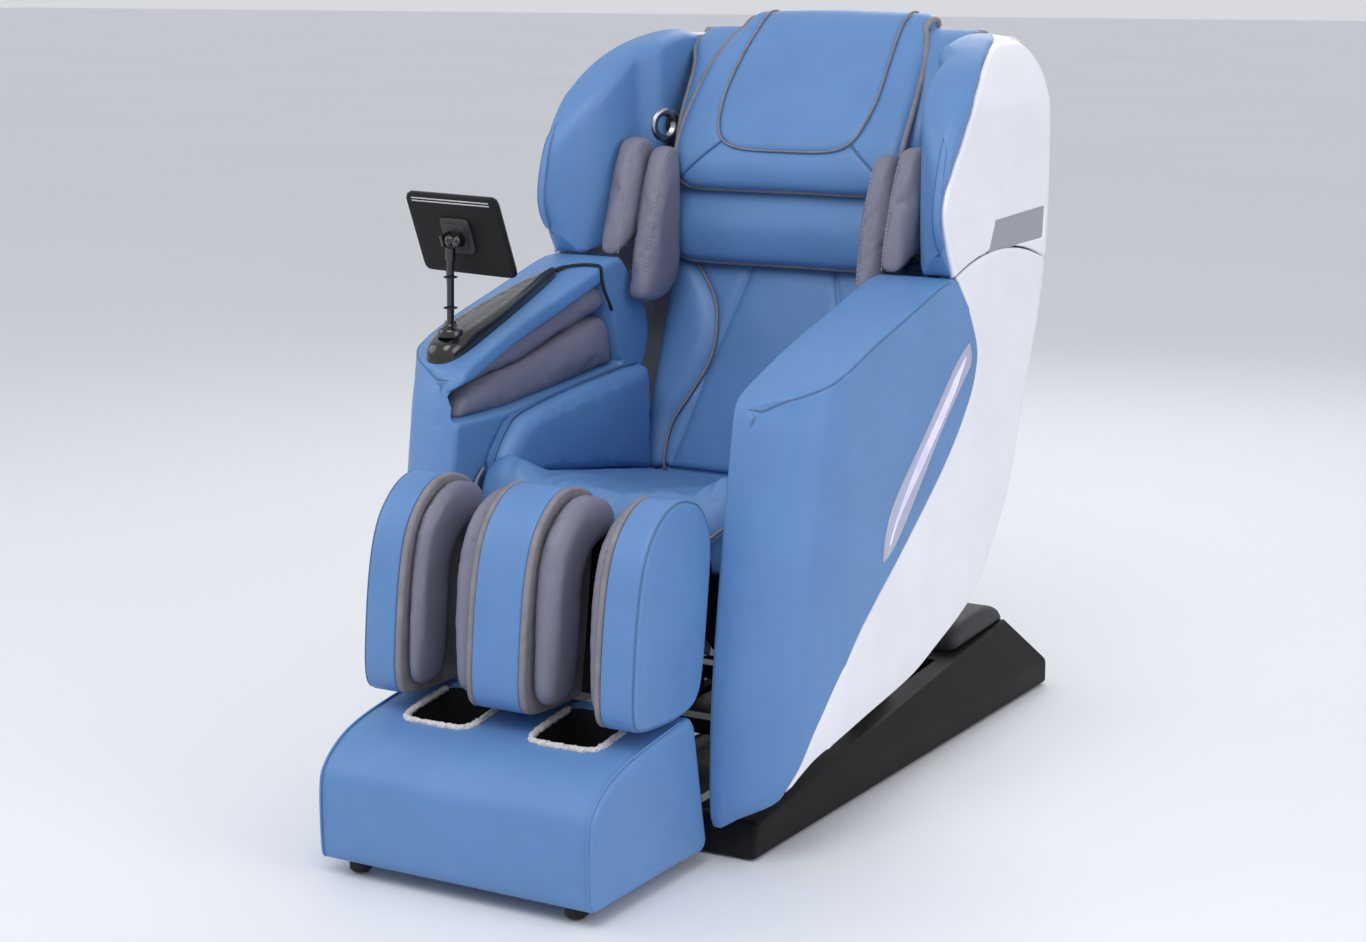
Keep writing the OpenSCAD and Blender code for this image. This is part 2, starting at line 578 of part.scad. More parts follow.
module tablet_case() color("black") at_tablet() {
  difference() {
    union() {
      rounded_slab(tablet_w, tablet_h, 10, 18, 28);
      rounded_slab(46, 46, 6, 12, 18.5);
      mirrored() difference() {
        union() {
          rod_x(0, 0, 9, 9, 15);
          block(9, 15, 0, 14, -9, 9);
        }
      }
    }
    mirrored() rod_x(0, 0, 4 + run_gap, 8, 16);
    rounded_slab(tablet_w - 12, tablet_h - 12, 6, 26.5, 30);
  }
}
module tablet_screen() color("midnightblue") at_tablet()
  rounded_slab(tablet_w - 12, tablet_h - 12, 6, 26.5, 27.6);

base_frame();
base_crossbars();
base_cover();
base_hood();
base_feet();
slide_rails();
power_inlet();
power_switch();
control_box();
transport_wheels();
carriage_frame();
tilt_barrel();
tilt_ram();
seat_frame();
seat_cushion();
hip_pads();
arm_left();
arm_right();
side_shell_left();
side_shell_right();
arm_airbags();
light_strips();
air_pump();
tablet_base();
tablet_lead();
recline_barrel();
recline_ram();
back_frame();
back_cushion();
side_bolsters();
neck_pad();
head_pillow();
wing_left();
wing_right();
upper_shell_left();
upper_shell_right();
rear_cover();
shell_vents();
shoulder_airbags();
speakers();
massage_chassis();
knead_arm_left();
knead_arm_right();
roller_left_upper();
roller_left_lower();
roller_right_upper();
roller_right_lower();
leg_frame();
calf_box_left();
calf_box_centre();
calf_box_right();
calf_airbags();
leg_barrel();
leg_ram();
foot_box();
foot_glides();
foot_rollers();
tablet_pole();
tablet_case();
tablet_screen();
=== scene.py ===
"""The looks of the massage chair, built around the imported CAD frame. Lengths are millimetres up to piece()."""
import math
import bmesh
import bpy
import numpy as np
from mathutils import Matrix, Vector, geometry, noise


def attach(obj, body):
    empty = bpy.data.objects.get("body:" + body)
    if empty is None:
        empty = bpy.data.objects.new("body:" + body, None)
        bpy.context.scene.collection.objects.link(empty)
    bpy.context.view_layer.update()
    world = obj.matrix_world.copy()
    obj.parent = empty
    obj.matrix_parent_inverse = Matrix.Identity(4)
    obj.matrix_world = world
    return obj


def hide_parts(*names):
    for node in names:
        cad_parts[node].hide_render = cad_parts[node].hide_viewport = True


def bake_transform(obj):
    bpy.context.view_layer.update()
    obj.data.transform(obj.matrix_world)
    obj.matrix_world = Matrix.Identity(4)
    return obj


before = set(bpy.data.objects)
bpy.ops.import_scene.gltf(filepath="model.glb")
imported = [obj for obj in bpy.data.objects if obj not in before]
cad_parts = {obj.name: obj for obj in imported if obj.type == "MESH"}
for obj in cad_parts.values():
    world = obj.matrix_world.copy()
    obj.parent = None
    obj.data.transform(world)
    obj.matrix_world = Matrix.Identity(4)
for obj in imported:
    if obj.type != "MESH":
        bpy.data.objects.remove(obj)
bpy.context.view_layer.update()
MM = 0.001


# ---- Curves and outlines ----
def spline(points, closed=False, n=8):
    """Catmull-Rom curve through points."""
    p = np.array(points, float)
    p = np.vstack([p[-1], p, p[0], p[1]]) if closed else np.vstack([p[0], p, p[-1]])
    t = (np.arange(n) / n)[:, None]
    out = [0.5 * (2 * b + (c - a) * t + (2 * a - 5 * b + 4 * c - d) * t * t + (3 * b - a - 3 * c + d) * t ** 3)
        for a, b, c, d in zip(p[:-3], p[1:-2], p[2:-1], p[3:])]
    return np.vstack(out) if closed else np.vstack(out + [p[-2:-1]])


def even(points, step, closed=False):
    """The same line with evenly spaced points."""
    p = np.array(points, float)
    if closed:
        p = np.vstack([p, p[:1]])
    size = np.linalg.norm(np.diff(p, axis=0), axis=1)
    p, size = p[np.r_[True, size > 1e-6]], size[size > 1e-6]
    s = np.r_[0, np.cumsum(size)]
    at = np.linspace(0, s[-1], max(int(round(s[-1] / step)), 3) + 1)
    out = np.stack([np.interp(at, s, p[:, k]) for k in range(p.shape[1])], 1)
    return out[:-1] if closed else out


def gap(line, q, closed=True):
    """Distance of each point of q from a line."""
    a, b = (line, np.roll(line, -1, 0)) if closed else (line[:-1], line[1:])
    ab = b - a
    size = np.maximum((ab ** 2).sum(1), 1e-12)
    out = np.empty(len(q))
    for i in range(0, len(q), 1500):
        d = q[i:i + 1500, None] - a[None]
        t = np.clip((d * ab).sum(2) / size, 0, 1)
        out[i:i + 1500] = np.linalg.norm(d - t[..., None] * ab, axis=2).min(1)
    return out


def inside(loop, q):
    """Which points of q lie in a closed loop."""
    hit = np.zeros(len(q), bool)
    for (ax, ay), (bx, by) in zip(loop, np.roll(loop, -1, 0)):
        if ay != by:
            hit ^= ((ay > q[:, 1]) != (by > q[:, 1])) & (q[:, 0] < (bx - ax) * (q[:, 1] - ay) / (by - ay) + ax)
    return hit


def step01(x):
    x = np.clip(x, 0, 1)
    return x * x * (3 - 2 * x)


def sides_of(line):
    """Unit direction and left-hand normal at each point of a line."""
    t = np.gradient(line, axis=0)
    t /= np.linalg.norm(t, axis=1)[:, None] + 1e-12
    return t, np.stack([-t[:, 1], t[:, 0]], 1)


class Region:
    """Even triangles over a closed outline, with rows of points beside its edge and beside each line drawn in it."""

    def __init__(self, outline, step=11.0, edge=10.0, rings=4, lines=(), rows=(-5, -2.2, 0, 2.2, 5)):
        loop = even(outline, min(step, 8), True)
        area = (loop[:, 0] * np.roll(loop[:, 1], -1) - np.roll(loop[:, 0], -1) * loop[:, 1]).sum()
        if area < 0:
            loop = loop[::-1]
        t = np.roll(loop, -1, 0) - np.roll(loop, 1, 0)
        t /= np.linalg.norm(t, axis=1)[:, None]
        inward = np.stack([-t[:, 1], t[:, 0]], 1)
        sets = [loop]
        for k in range(1, rings + 1):
            d = edge * (1 - math.cos(math.pi / 2 * k / rings))
            ring = loop + inward * d
            ring = ring[inside(loop, ring)]
            sets.append(ring[gap(loop, ring) > 0.93 * d])
        drawn = [np.array(line, float) for line in lines]
        for line in drawn:
            line = even(line, min(step, 7))
            _, left = sides_of(line)
            for r in rows:
                q = line + left * r
                q = q[inside(loop, q)]
                sets.append(q[gap(loop, q) > 1.2])
        lo, hi = loop.min(0), loop.max(0)
        xs = np.arange(lo[0], hi[0], step)
        ys = np.arange(lo[1], hi[1], step * 0.866)
        grid = np.array([(x + (step / 2 if j % 2 else 0), y) for j, y in enumerate(ys) for x in xs])
        grid = grid[inside(loop, grid)]
        grid = grid[gap(loop, grid) > edge + 0.45 * step]
        for line in drawn:
            if len(grid):
                grid = grid[gap(line, grid, False) > max(rows) + 0.4 * step]
        sets.append(grid)
        pts = np.vstack([s for s in sets if len(s)])
        n = len(loop)
        co, _, faces, ids, _, _ = geometry.delaunay_2d_cdt(
            [Vector(p) for p in pts], [(i, (i + 1) % n) for i in range(n)], [], 1, 1e-4)
        self.p = np.array([(v.x, v.y) for v in co])
        tri = np.array([f for f in faces if len(f) == 3])
        a, b, c = (self.p[tri[:, k]] for k in range(3))
        wrong = ((b - a)[:, 0] * (c - a)[:, 1] - (b - a)[:, 1] * (c - a)[:, 0]) < 0
        tri[wrong] = tri[wrong][:, ::-1]
        self.tri = tri
        where = {o: new for new, olds in enumerate(ids) for o in olds if o < n}
        ring = [where[i] for i in range(n)]
        self.ring = np.array([r for i, r in enumerate(ring) if r != ring[i - 1]])
        self.loop = loop
        self.d = gap(loop, self.p)
        self.d[self.ring] = 0

    def drop(self, width, depth=None):
        """How far a rounded edge falls below the full height."""
        depth = width if depth is None else depth
        t = np.clip(1 - self.d / np.maximum(width, 1e-6), 0, 1)
        return depth * (1 - np.sqrt(np.maximum(1 - t * t, 0)))

    def puff(self, reach, rounds=60, pinned=()):
        """0 at the edge and at the pinned lines to 1 well inside, like a stuffed skin."""
        d = self.d.copy()
        for line in pinned:
            d = np.minimum(d, gap(np.array(line, float), self.p, False))
        h = 1 - (1 - np.clip(d / reach, 0, 1)) ** 2
        e = np.vstack([self.tri[:, [0, 1]], self.tri[:, [1, 2]], self.tri[:, [2, 0]]])
        n = len(self.p)
        deg = np.bincount(e[:, 0], minlength=n) + np.bincount(e[:, 1], minlength=n)
        held = d < 1.0
        for _ in range(rounds):
            s = np.bincount(e[:, 0], h[e[:, 1]], n) + np.bincount(e[:, 1], h[e[:, 0]], n)
            h = np.where(held, h, s / np.maximum(deg, 1))
        return h / max(h.max(), 1e-9)

    def groove(self, line, depth, width, closed=False):
        d = gap(np.array(line, float), self.p, closed)
        return depth * np.exp(-(d / width) ** 2)

    def slab(self, outer, inner, rows=1):
        """Closed mesh between two sets of x over a side-view outline."""
        return self.solid(side(outer, self.p), side(inner, self.p), rows)

    def solid(self, top, bottom, rows=1):
        """Closed mesh between a top and a bottom surface."""
        n, r = len(self.p), self.ring
        v = [top, bottom]
        levels = [r]
        for k in range(1, rows):
            v.append(top[r] + (bottom[r] - top[r]) * k / rows)
            levels.append(np.arange(len(r)) + 2 * n + (k - 1) * len(r))
        levels.append(r + n)
        f = self.tri.tolist() + (self.tri[:, ::-1] + n).tolist()
        for a, b in zip(levels[:-1], levels[1:]):
            f += np.stack([a, b, np.roll(b, -1), np.roll(a, -1)], 1).tolist()
        return np.vstack(v), f


class Sweep:
    """A surface that runs across the chair and follows a side-view line of points [y, z]."""

    def __init__(self, points, smooth=True):
        self.line = even(spline(points) if smooth else points, 3)
        size = np.linalg.norm(np.diff(self.line, axis=0), axis=1)
        self.s = np.r_[0, np.cumsum(size)]
        _, self.n = sides_of(self.line)

    def at(self, p, h):
        """Points [x, distance along the line] raised h to the left of the line."""
        k = [np.interp(p[:, 1], self.s, a) for a in (self.line[:, 0], self.line[:, 1], self.n[:, 0], self.n[:, 1])]
        return np.stack([p[:, 0], k[0] + k[2] * h, k[1] + k[3] * h], 1)

    def along(self, z):
        """Distance along the line at a height z, for a line that only rises."""
        return np.interp(z, self.line[:, 1], self.s)

    def flat(self, points):
        """Front-view points [x, z] as points [x, distance along the line]."""
        p = np.array(points, float)
        return np.stack([p[:, 0], self.along(p[:, 1])], 1)


def tube(path, r, sides=10, closed=False, seed=None):
    """Round tube along 3-D points with domed ends."""
    p = np.array(path, float)
    r = np.broadcast_to(np.array(r, float), (len(p),)).copy()
    if not closed:
        cap = min(r[0], np.linalg.norm(p[1] - p[0]) * 0.45)
        a, b = p[0], p[-1]
        ta, tb = p[0] - p[1], p[-1] - p[-2]
        ta, tb = ta / np.linalg.norm(ta), tb / np.linalg.norm(tb)
        p = np.vstack([a + ta * cap, a + ta * cap * 0.8, p, b + tb * cap * 0.8, b + tb * cap])
        r = np.r_[r[0] * 0.12, r[0] * 0.62, r, r[-1] * 0.62, r[-1] * 0.12]
    t = (np.roll(p, -1, 0) - np.roll(p, 1, 0)) if closed else np.gradient(p, axis=0)
    t /= np.linalg.norm(t, axis=1)[:, None] + 1e-12
    u = np.cross(t[0], [0.3, 0.1, 1.0])
    u /= np.linalg.norm(u)
    frames = []
    for k in t:
        u = u - k * u.dot(k)
        u /= np.linalg.norm(u)
        frames.append((u, np.cross(k, u)))
    if closed:
        back = frames[-1][0]
        twist = math.atan2(back.dot(frames[0][1]), back.dot(frames[0][0]))
        n = len(p)
        frames = [(u * math.cos(twist * i / n) - w * math.sin(twist * i / n),
            w * math.cos(twist * i / n) + u * math.sin(twist * i / n)) for i, (u, w) in enumerate(frames)]
    ang = np.arange(sides) * 2 * math.pi / sides
    rows = []
    for i, (q, (u, w), k) in enumerate(zip(p, frames, r)):
        wob = 1.0
        if seed is not None:
            wob = np.array([1 + 0.6 * noise.noise(Vector((i * 0.8, a * 1.3, seed))) for a in range(sides)])
        rows.append(q + ((np.cos(ang) * k * wob)[:, None] * u + (np.sin(ang) * k * wob)[:, None] * w))
    v = np.vstack(rows)
    n = len(p)
    f = []
    for i in range(n if closed else n - 1):
        a, b = i * sides, (i + 1) % n * sides
        f += [(a + j, a + (j + 1) % sides, b + (j + 1) % sides, b + j) for j in range(sides)]
    if not closed:
        f += [tuple(range(sides - 1, -1, -1)), tuple((n - 1) * sides + j for j in range(sides))]
    return v, f


def lathe(profile, sides=48):
    """Turned form: profile points [radius, height] about +Z, from the axis round to the axis."""
    ang = np.arange(sides) * 2 * math.pi / sides
    v, rows = [], []
    for r, z in profile:
        if r < 1e-6:
            rows.append([len(v)])
            v.append((0, 0, z))
        else:
            rows.append(list(range(len(v), len(v) + sides)))
            v += [(r * math.cos(a), r * math.sin(a), z) for a in ang]
    f = []
    for a, b in zip(rows[:-1], rows[1:]):
        for j in range(sides):
            k = (j + 1) % sides
            q = tuple(dict.fromkeys((a[j % len(a)], a[k % len(a)], b[k % len(b)], b[j % len(b)])))
            if len(q) > 2:
                f.append(q)
    return np.array(v, float), [q[::-1] for q in f]


def joined(*parts):
    v, f, n = [], [], 0
    for pv, pf in parts:
        v.append(np.array(pv, float))
        f += [tuple(int(i) + n for i in q) for q in pf]
        n += len(pv)
    return np.vstack(v), f


def turned(part, about=(0, 0, 1), angle=0, to=(0, 0, 0)):
    v, f = part
    m = np.array(Matrix.Rotation(math.radians(angle), 3, Vector(about)))
    return np.array(v) @ m.T + np.array(to, float), f


def grain(v, size, seed=0.0):
    """Smooth seeded noise, about -1 to 1, at points in millimetres."""
    return np.array([noise.noise(Vector(q) / size + Vector((seed, seed * 0.7, 3.1))) for q in v])


# ---- Materials ----
class Nodes:
    def __init__(self, name, base, rough, metal=0.0, **sockets):
        self.m = bpy.data.materials.new(name)
        self.m.use_nodes = True
        self.tree = self.m.node_tree
        self.bsdf = self.tree.nodes["Principled BSDF"]
        self.bsdf.inputs["Base Color"].default_value = (*base, 1)
        self.bsdf.inputs["Roughness"].default_value = rough
        self.bsdf.inputs["Metallic"].default_value = metal
        for k, v in sockets.items():
            self.bsdf.inputs[k.replace("_", " ")].default_value = v
        self.co = self.add("ShaderNodeTexCoord").outputs["Object"]

    def add(self, kind, **values):
        node = self.tree.nodes.new(kind)
        for k, v in values.items():
            if k.startswith("in_"):
                node.inputs[k[3:].replace("_", " ")].default_value = v
            else:
                setattr(node, k, v)
        return node

    def link(self, a, b):
        self.tree.links.new(a, b)

    def noise(self, scale, detail=3.0, rough=0.55, stretch=None):
        tex = self.add("ShaderNodeTexNoise", in_Scale=scale, in_Detail=detail, in_Roughness=rough)
        co = self.co
        if stretch:
            mapping = self.add("ShaderNodeMapping")
            mapping.inputs["Scale"].default_value = stretch
            self.link(co, mapping.inputs["Vector"])
            co = mapping.outputs["Vector"]
        self.link(co, tex.inputs["Vector"])
        return tex.outputs["Fac"]

    def ramp(self, fac, low, high, a=0.3, b=0.7):
        node = self.add("ShaderNodeValToRGB")
        node.color_ramp.elements[0].position, node.color_ramp.elements[1].position = a, b
        node.color_ramp.elements[0].color = (*low, 1)
        node.color_ramp.elements[1].color = (*high, 1)
        self.link(fac, node.inputs["Fac"])
        return node.outputs["Color"]

    def tone(self, fac, low, high, a=0.3, b=0.7):
        self.link(self.ramp(fac, low, high, a, b), self.bsdf.inputs["Base Color"])

    def roughness(self, fac, low, high):
        node = self.add("ShaderNodeMapRange")
        node.inputs["To Min"].default_value, node.inputs["To Max"].default_value = low, high
        self.link(fac, node.inputs["Value"])
        self.link(node.outputs["Result"], self.bsdf.inputs["Roughness"])

    def bumps(self, *layers):
        """Each layer is (height output, strength, distance in metres)."""
        last = None
        for height, strength, distance in layers:
            node = self.add("ShaderNodeBump", in_Strength=strength, in_Distance=distance)
            self.link(height, node.inputs["Height"])
            if last:
                self.link(last, node.inputs["Normal"])
            last = node.outputs["Normal"]
        self.link(last, self.bsdf.inputs["Normal"])


def shade(c, k):
    return tuple(min(1.0, x * k) for x in c)


def leather(name, base, rough=0.42, scale=620):
    m = Nodes(name, base, rough)
    m.tone(m.noise(9, 4), shade(base, 0.95), shade(base, 1.05), 0.3, 0.7)
    cells = m.add("ShaderNodeTexVoronoi", in_Scale=scale, feature="DISTANCE_TO_EDGE")
    m.link(m.co, cells.inputs["Vector"])
    pores = m.ramp(cells.outputs["Distance"], (0, 0, 0), (1, 1, 1), 0.0, 0.22)
    m.roughness(m.noise(38, 3), rough - 0.06, rough + 0.1)
    m.bumps((m.noise(26, 4, 0.6), 0.12, 0.0022), (m.noise(150, 2), 0.10, 0.0006), (pores, 0.20, 0.00022))
    return m.m


def fabric(name, base, rough=0.8, scale=900):
    m = Nodes(name, base, rough)
    weave = []
    for axis in "XZ":
        w = m.add("ShaderNodeTexWave", bands_direction=axis, in_Scale=scale / 6, in_Distortion=0.6)
        m.link(m.co, w.inputs["Vector"])
        weave.append(w.outputs["Fac"])
    m.tone(m.noise(45, 4), shade(base, 0.84), shade(base, 1.14))
    m.roughness(m.noise(90), rough - 0.08, min(rough + 0.1, 1))
    m.bumps((weave[0], 0.14, 0.0004), (weave[1], 0.14, 0.0004), (m.noise(60, 3), 0.12, 0.0012))
    return m.m


def plastic(name, base, rough, grainy=0.08, spread=0.06, **sockets):
    m = Nodes(name, base, rough, **sockets)
    m.tone(m.noise(7, 3), shade(base, 0.955), shade(base, 1.035))
    m.roughness(m.noise(14, 4), max(rough - spread, 0.02), rough + spread)
    m.bumps((m.noise(900, 2), grainy, 0.00018), (m.noise(9, 2), 0.05, 0.0012))
    return m.m


def metal(name, base, rough, brushed=True):
    m = Nodes(name, base, rough, metal=1.0)
    fine = m.noise(220, 3, stretch=(1, 14, 14) if brushed else None)
    m.tone(m.noise(30, 3), shade(base, 0.86), shade(base, 1.08))
    m.roughness(fine, max(rough - 0.08, 0.03), rough + 0.12)
    m.bumps((fine, 0.08, 0.0002), (m.noise(500, 2), 0.05, 0.0001))
    return m.m


def lin(r, g, b):
    """Linear colour of an 8-bit display colour."""
    return tuple((c / 255 / 12.92) if c / 255 <= 0.04045 else ((c / 255 + 0.055) / 1.055) ** 2.4 for c in (r, g, b))


BLUE_TONE = (0.100, 0.232, 0.485)
MAT = dict(
    blue=leather("blue_leather", BLUE_TONE),
    # Darker copy of the blue leather: painted shade along creases, seams, welts and piping.
    blue_seam_shade=leather("blue_leather_painted_seam_shade", shade(BLUE_TONE, 0.62), 0.5),
    grey=leather("grey_pad_leather", lin(118, 118, 136), 0.5, 700),
    pipe=fabric("grey_piping", lin(128, 124, 130), 0.62, 2200),
    thread=fabric("seam_thread", lin(176, 172, 176), 0.7, 3000),
    white=plastic("white_shell", lin(232, 232, 240), 0.2, 0.03, 0.04, Coat_Weight=0.35, Coat_Roughness=0.12),
    vent=plastic("vent_grey", lin(150, 150, 160), 0.42),
    black=plastic("black_plastic", lin(20, 20, 21), 0.6, 0.25, Specular_IOR_Level=0.22),
    hood=plastic("hood_plastic", lin(52, 52, 55), 0.55, 0.2, Specular_IOR_Level=0.3),
    gloss=plastic("gloss_black", lin(20, 20, 22), 0.2, 0.03, 0.05, Coat_Weight=0.5, Coat_Roughness=0.1),
    rubber=plastic("rubber", lin(24, 24, 25), 0.78, 0.3),
    # Black lining fabric of the rear gusset; the same black is painted shade inside the calf and foot wells.
    lining_and_shade=fabric("black_lining_and_painted_shade", lin(22, 23, 28), 0.9, 1200),
    lens=plastic("lamp_lens", lin(168, 172, 196), 0.18, 0.02, 0.04, Coat_Weight=0.6, Coat_Roughness=0.08),
    silver=metal("silver_trim", lin(176, 178, 184), 0.24),
    steel=metal("painted_steel", lin(54, 56, 60), 0.42, False),
    bright=metal("rail_steel", lin(186, 188, 192), 0.22),
    cast=metal("cast_aluminium", lin(158, 160, 165), 0.42, False),
    roller=plastic("roller_plastic", lin(40, 42, 46), 0.4),
    red=plastic("switch_plastic", lin(170, 36, 30), 0.35),
)
fleece = Nodes("white_fleece", lin(226, 222, 220), 0.95, Sheen_Weight=0.4, Sheen_Roughness=0.6)
fleece.tone(fleece.noise(300, 4), lin(170, 165, 165), lin(244, 241, 240))
fleece.bumps((fleece.noise(420, 4, 0.7), 0.7, 0.003), (fleece.noise(120, 3), 0.5, 0.004))
MAT["fleece"] = fleece.m
lamp = Nodes("lamp_core", lin(214, 206, 250), 0.3)
lamp.tone(lamp.noise(18, 2), lin(196, 188, 246), lin(232, 228, 255))
lamp.bsdf.inputs["Emission Color"].default_value = (*lin(205, 198, 252), 1)
lamp.bsdf.inputs["Emission Strength"].default_value = 0.22
MAT["lamp"] = lamp.m
glass = Nodes("screen_glass", lin(14, 18, 30), 0.06, Coat_Weight=1.0, Coat_Roughness=0.03)
glass.tone(glass.noise(4, 2), lin(10, 14, 24), lin(22, 30, 50))
glass.roughness(glass.noise(30, 3), 0.04, 0.1)
MAT["glass"] = glass.m


# ---- Pieces ----
SLOTS = dict(blue="blue_leather", blue_seam_shade="blue_leather", white="white_shell", glass="screen_glass",
    silver="speaker_trim", lens="lamp_lens", lamp="lamp_lens", rubber="lead_rubber",
    **dict.fromkeys(("grey", "pipe", "thread", "vent", "lining_and_shade", "fleece"), "grey_airbag"),
    **dict.fromkeys(("black", "gloss", "bright", "hood"), "base_plastic"))


def new_object(name, part):
    """A mesh object from a part in millimetres."""
    v, f = part
    mesh = bpy.data.meshes.new(name)
    mesh.from_pydata((np.array(v, float) * MM).tolist(), [], [tuple(int(i) for i in q) for q in f])
    ob = bpy.data.objects.new(name, mesh)
    bpy.context.scene.collection.objects.link(ob)
    return ob


def sharpen(ob, angle):
    ob.data.set_sharp_from_angle(angle=math.radians(angle))


def piece(name, part, mat, body, replaces=(), fill=None, slot=None, flip=False, sharp=None, ride=True):
    """A visible piece in a material, riding on a body. The slot argument is not used. flip mirrors it to the other
    side.
    """
    v, f = part
    if flip:
        v, f = np.array(v, float) * (-1, 1, 1), [tuple(q)[::-1] for q in f]
    ob = new_object(name, (v, f))
    ob.data.update()
    ob.data.polygons.foreach_set("use_smooth", [True] * len(ob.data.polygons))
    if sharp:
        sharpen(ob, sharp)
    ob.data.materials.append(MAT[mat])
    if ride:
        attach(ob, body)
    if replaces:
        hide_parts(*replaces)
    return ob


def settle(ob):
    """Applies an object's modifiers to its mesh."""
    bpy.context.view_layer.update()
    done = bpy.data.meshes.new_from_object(ob.evaluated_get(bpy.context.evaluated_depsgraph_get()))
    ob.modifiers.clear()
    old, ob.data = ob.data, done
    done.name = ob.name
    bpy.data.meshes.remove(old)


SIM_FRAMES = 20


def plump(part, cap, voxel=5.0, pressure=4.0):
    """Blows a closed cushion up with cloth under pressure, moving no point more than cap."""
    ob = new_object("plump", part)
    remesh = ob.modifiers.new("remesh", "REMESH")
    remesh.mode, remesh.voxel_size = "VOXEL", voxel * MM
    settle(ob)
    rest = np.array([q.co[:] for q in ob.data.vertices])
    cloth = ob.modifiers.new("cloth", "CLOTH")
    wear = cloth.settings
    wear.quality = 5
    wear.use_pressure, wear.uniform_pressure_force = True, pressure
    wear.tension_stiffness = wear.compression_stiffness = 14
    wear.bending_stiffness = 0.6
    wear.effector_weights.gravity = 0
    cloth.collision_settings.use_collision = False
    cloth.point_cache.frame_start, cloth.point_cache.frame_end = 1, SIM_FRAMES
    scene = bpy.context.scene
    for k in range(1, SIM_FRAMES + 1):
        scene.frame_set(k)
    done = ob.evaluated_get(bpy.context.evaluated_depsgraph_get()).to_mesh()
    moved = np.array([q.co[:] for q in done.vertices]) - rest
    size = np.linalg.norm(moved, axis=1)
    lim = cap * MM
    moved *= (np.minimum(size, lim) / np.maximum(size, 1e-9))[:, None]
    faces = [tuple(q.vertices) for q in ob.data.polygons]
    bpy.data.objects.remove(ob)
    scene.frame_set(1)
    return (rest + moved) / MM, faces


def pair(name, part, mat, body, replaces=(), fill=None, **more):
    """A left piece and its mirror image. A replaced node's name ends in _# where it has one of each."""
    for hand, flip in (("left", False), ("right", True)):
        nodes = [n.replace("#", hand) for n in replaces]
        piece(f"{name}_{hand}", part, mat, body, nodes, fill, flip=flip, **more)


def carve(ob, parts, mat, mode, sharp):
    """Cuts parts out of a piece and gives the cut faces a material."""
    cutters = []
    for part in parts:
        tool = new_object("cut", part)
        tool.data.materials.append(MAT[mat])
        mod = ob.modifiers.new("cut", "BOOLEAN")
        mod.operation, mod.object, mod.solver, mod.material_mode = "DIFFERENCE", tool, "EXACT", mode
        cutters.append(tool)
    settle(ob)
    for tool in cutters:
        bpy.data.objects.remove(tool)
    sharpen(ob, sharp)


def mirrored(half):
    """A closed outline from its right half, which starts and ends on the middle line."""
    return half + [(-x, z) for x, z in half[-2:0:-1]]


def noise_at(p, size, seed):
    """Smooth noise over a side-view outline."""
    return grain(side(0, p), size, seed)


def stitches(path, long=4.0, space=3.0, r=0.55):
    """Thread stitches along 3-D points."""
    p = even(path, (long + space) / 4)
    return joined(*[tube(p[i:i + 3], r, 5) for i in range(0, len(p) - 3, 4)])


# Outer face of the side panels, from their front-view and plan-view curves.
WIDE = 362
SECTION = spline([(40, 220), (50, 262), (68, 290), (96, 328), (136, 350), (190, 359), (260, 362), (620, 362),
    (1000, 362), (1060, 357), (1110, 342), (1142, 318), (1152, 296)])
PLAN = spline([(-412, 296), (-400, 326), (-366, 344), (-310, 352), (-250, 360), (-200, 362), (300, 362),
    (800, 362)])


def section_x(z):
    return np.minimum(np.interp(z, SECTION[:, 0], SECTION[:, 1]), WIDE)


def panel_x(p):
    """x of the side panels' outer face at side-view points."""
    a = WIDE - section_x(p[:, 1])
    b = WIDE - np.minimum(np.interp(p[:, 0], PLAN[:, 0], PLAN[:, 1]), WIDE)
    return WIDE - np.sqrt(a * a + b * b)


def side(x, p):
    """3-D points from x and side-view points [y, z]."""
    return np.stack([x + 0 * p[:, 0], p[:, 0], p[:, 1]], 1)


ARM_FRONT = [(-413, 118), (-409, 230), (-393, 370), (-372, 500), (-353, 610), (-343, 649)]
ARM_TOP = [(-324, 668), (-262, 692), (-170, 722), (-50, 754), (60, 784), (111, 791)]
BLUE_EDGE = [(163, 739), (194, 686), (197, 648), (170, 594), (86, 510), (-64, 402), (-145, 349), (-206, 306),
    (-259, 257), (-296, 215), (-327, 178), (-356, 136), (-366, 112)]
NOSE = [(-374, 80), (-388, 58), (-401, 54), (-411, 74)]
LOWER_REAR = [(463, 787), (440, 700), (393, 583), (337, 437), (266, 340), (210, 288), (156, 260), (73, 231),
    (-30, 199), (-180, 174), (-291, 153), (-340, 133), (-366, 112)]
WING_RIM = [(466, 800), (473, 893), (470, 1043), (458, 1095), (428, 1134), (370, 1150), (290, 1138), (215, 1108),
    (150, 1064), (100, 1010), (70, 950), (60, 870), (106, 796)]


def slot_at(y):
    """Slot outline in the side view, from its front end at y."""
    return np.vstack([[(y - 1, 592), (y + 5, 588), (-200, 588), (-40, 600), (112, 616)],
        spline([(60, 757), (-50, 726), (-170, 694), (-262, 664), (max(y + 8, -330), 643), (y - 1, 634)])])


STRIP = np.vstack([spline([(164, 688), (113, 659), (11, 573), (-85, 494), (-123, 442), (-132, 398)]),
    spline([(-132, 398), (-83, 425), (-4, 499), (67, 568), (173, 656)])[1:]])
PIVOT, SEAM_R = (285, 300), 521.5


def seam(offset, y0, y1, n=24):
    """The arc about the recline pivot on which the upper shell slides past the lower shell."""
    a0, a1 = (math.acos((y - PIVOT[0]) / SEAM_R) for y in (y0, y1))
    a = np.linspace(a0, a1, n)
    return np.stack([PIVOT[0] + (SEAM_R + offset) * np.cos(a), PIVOT[1] + (SEAM_R + offset) * np.sin(a)], 1)


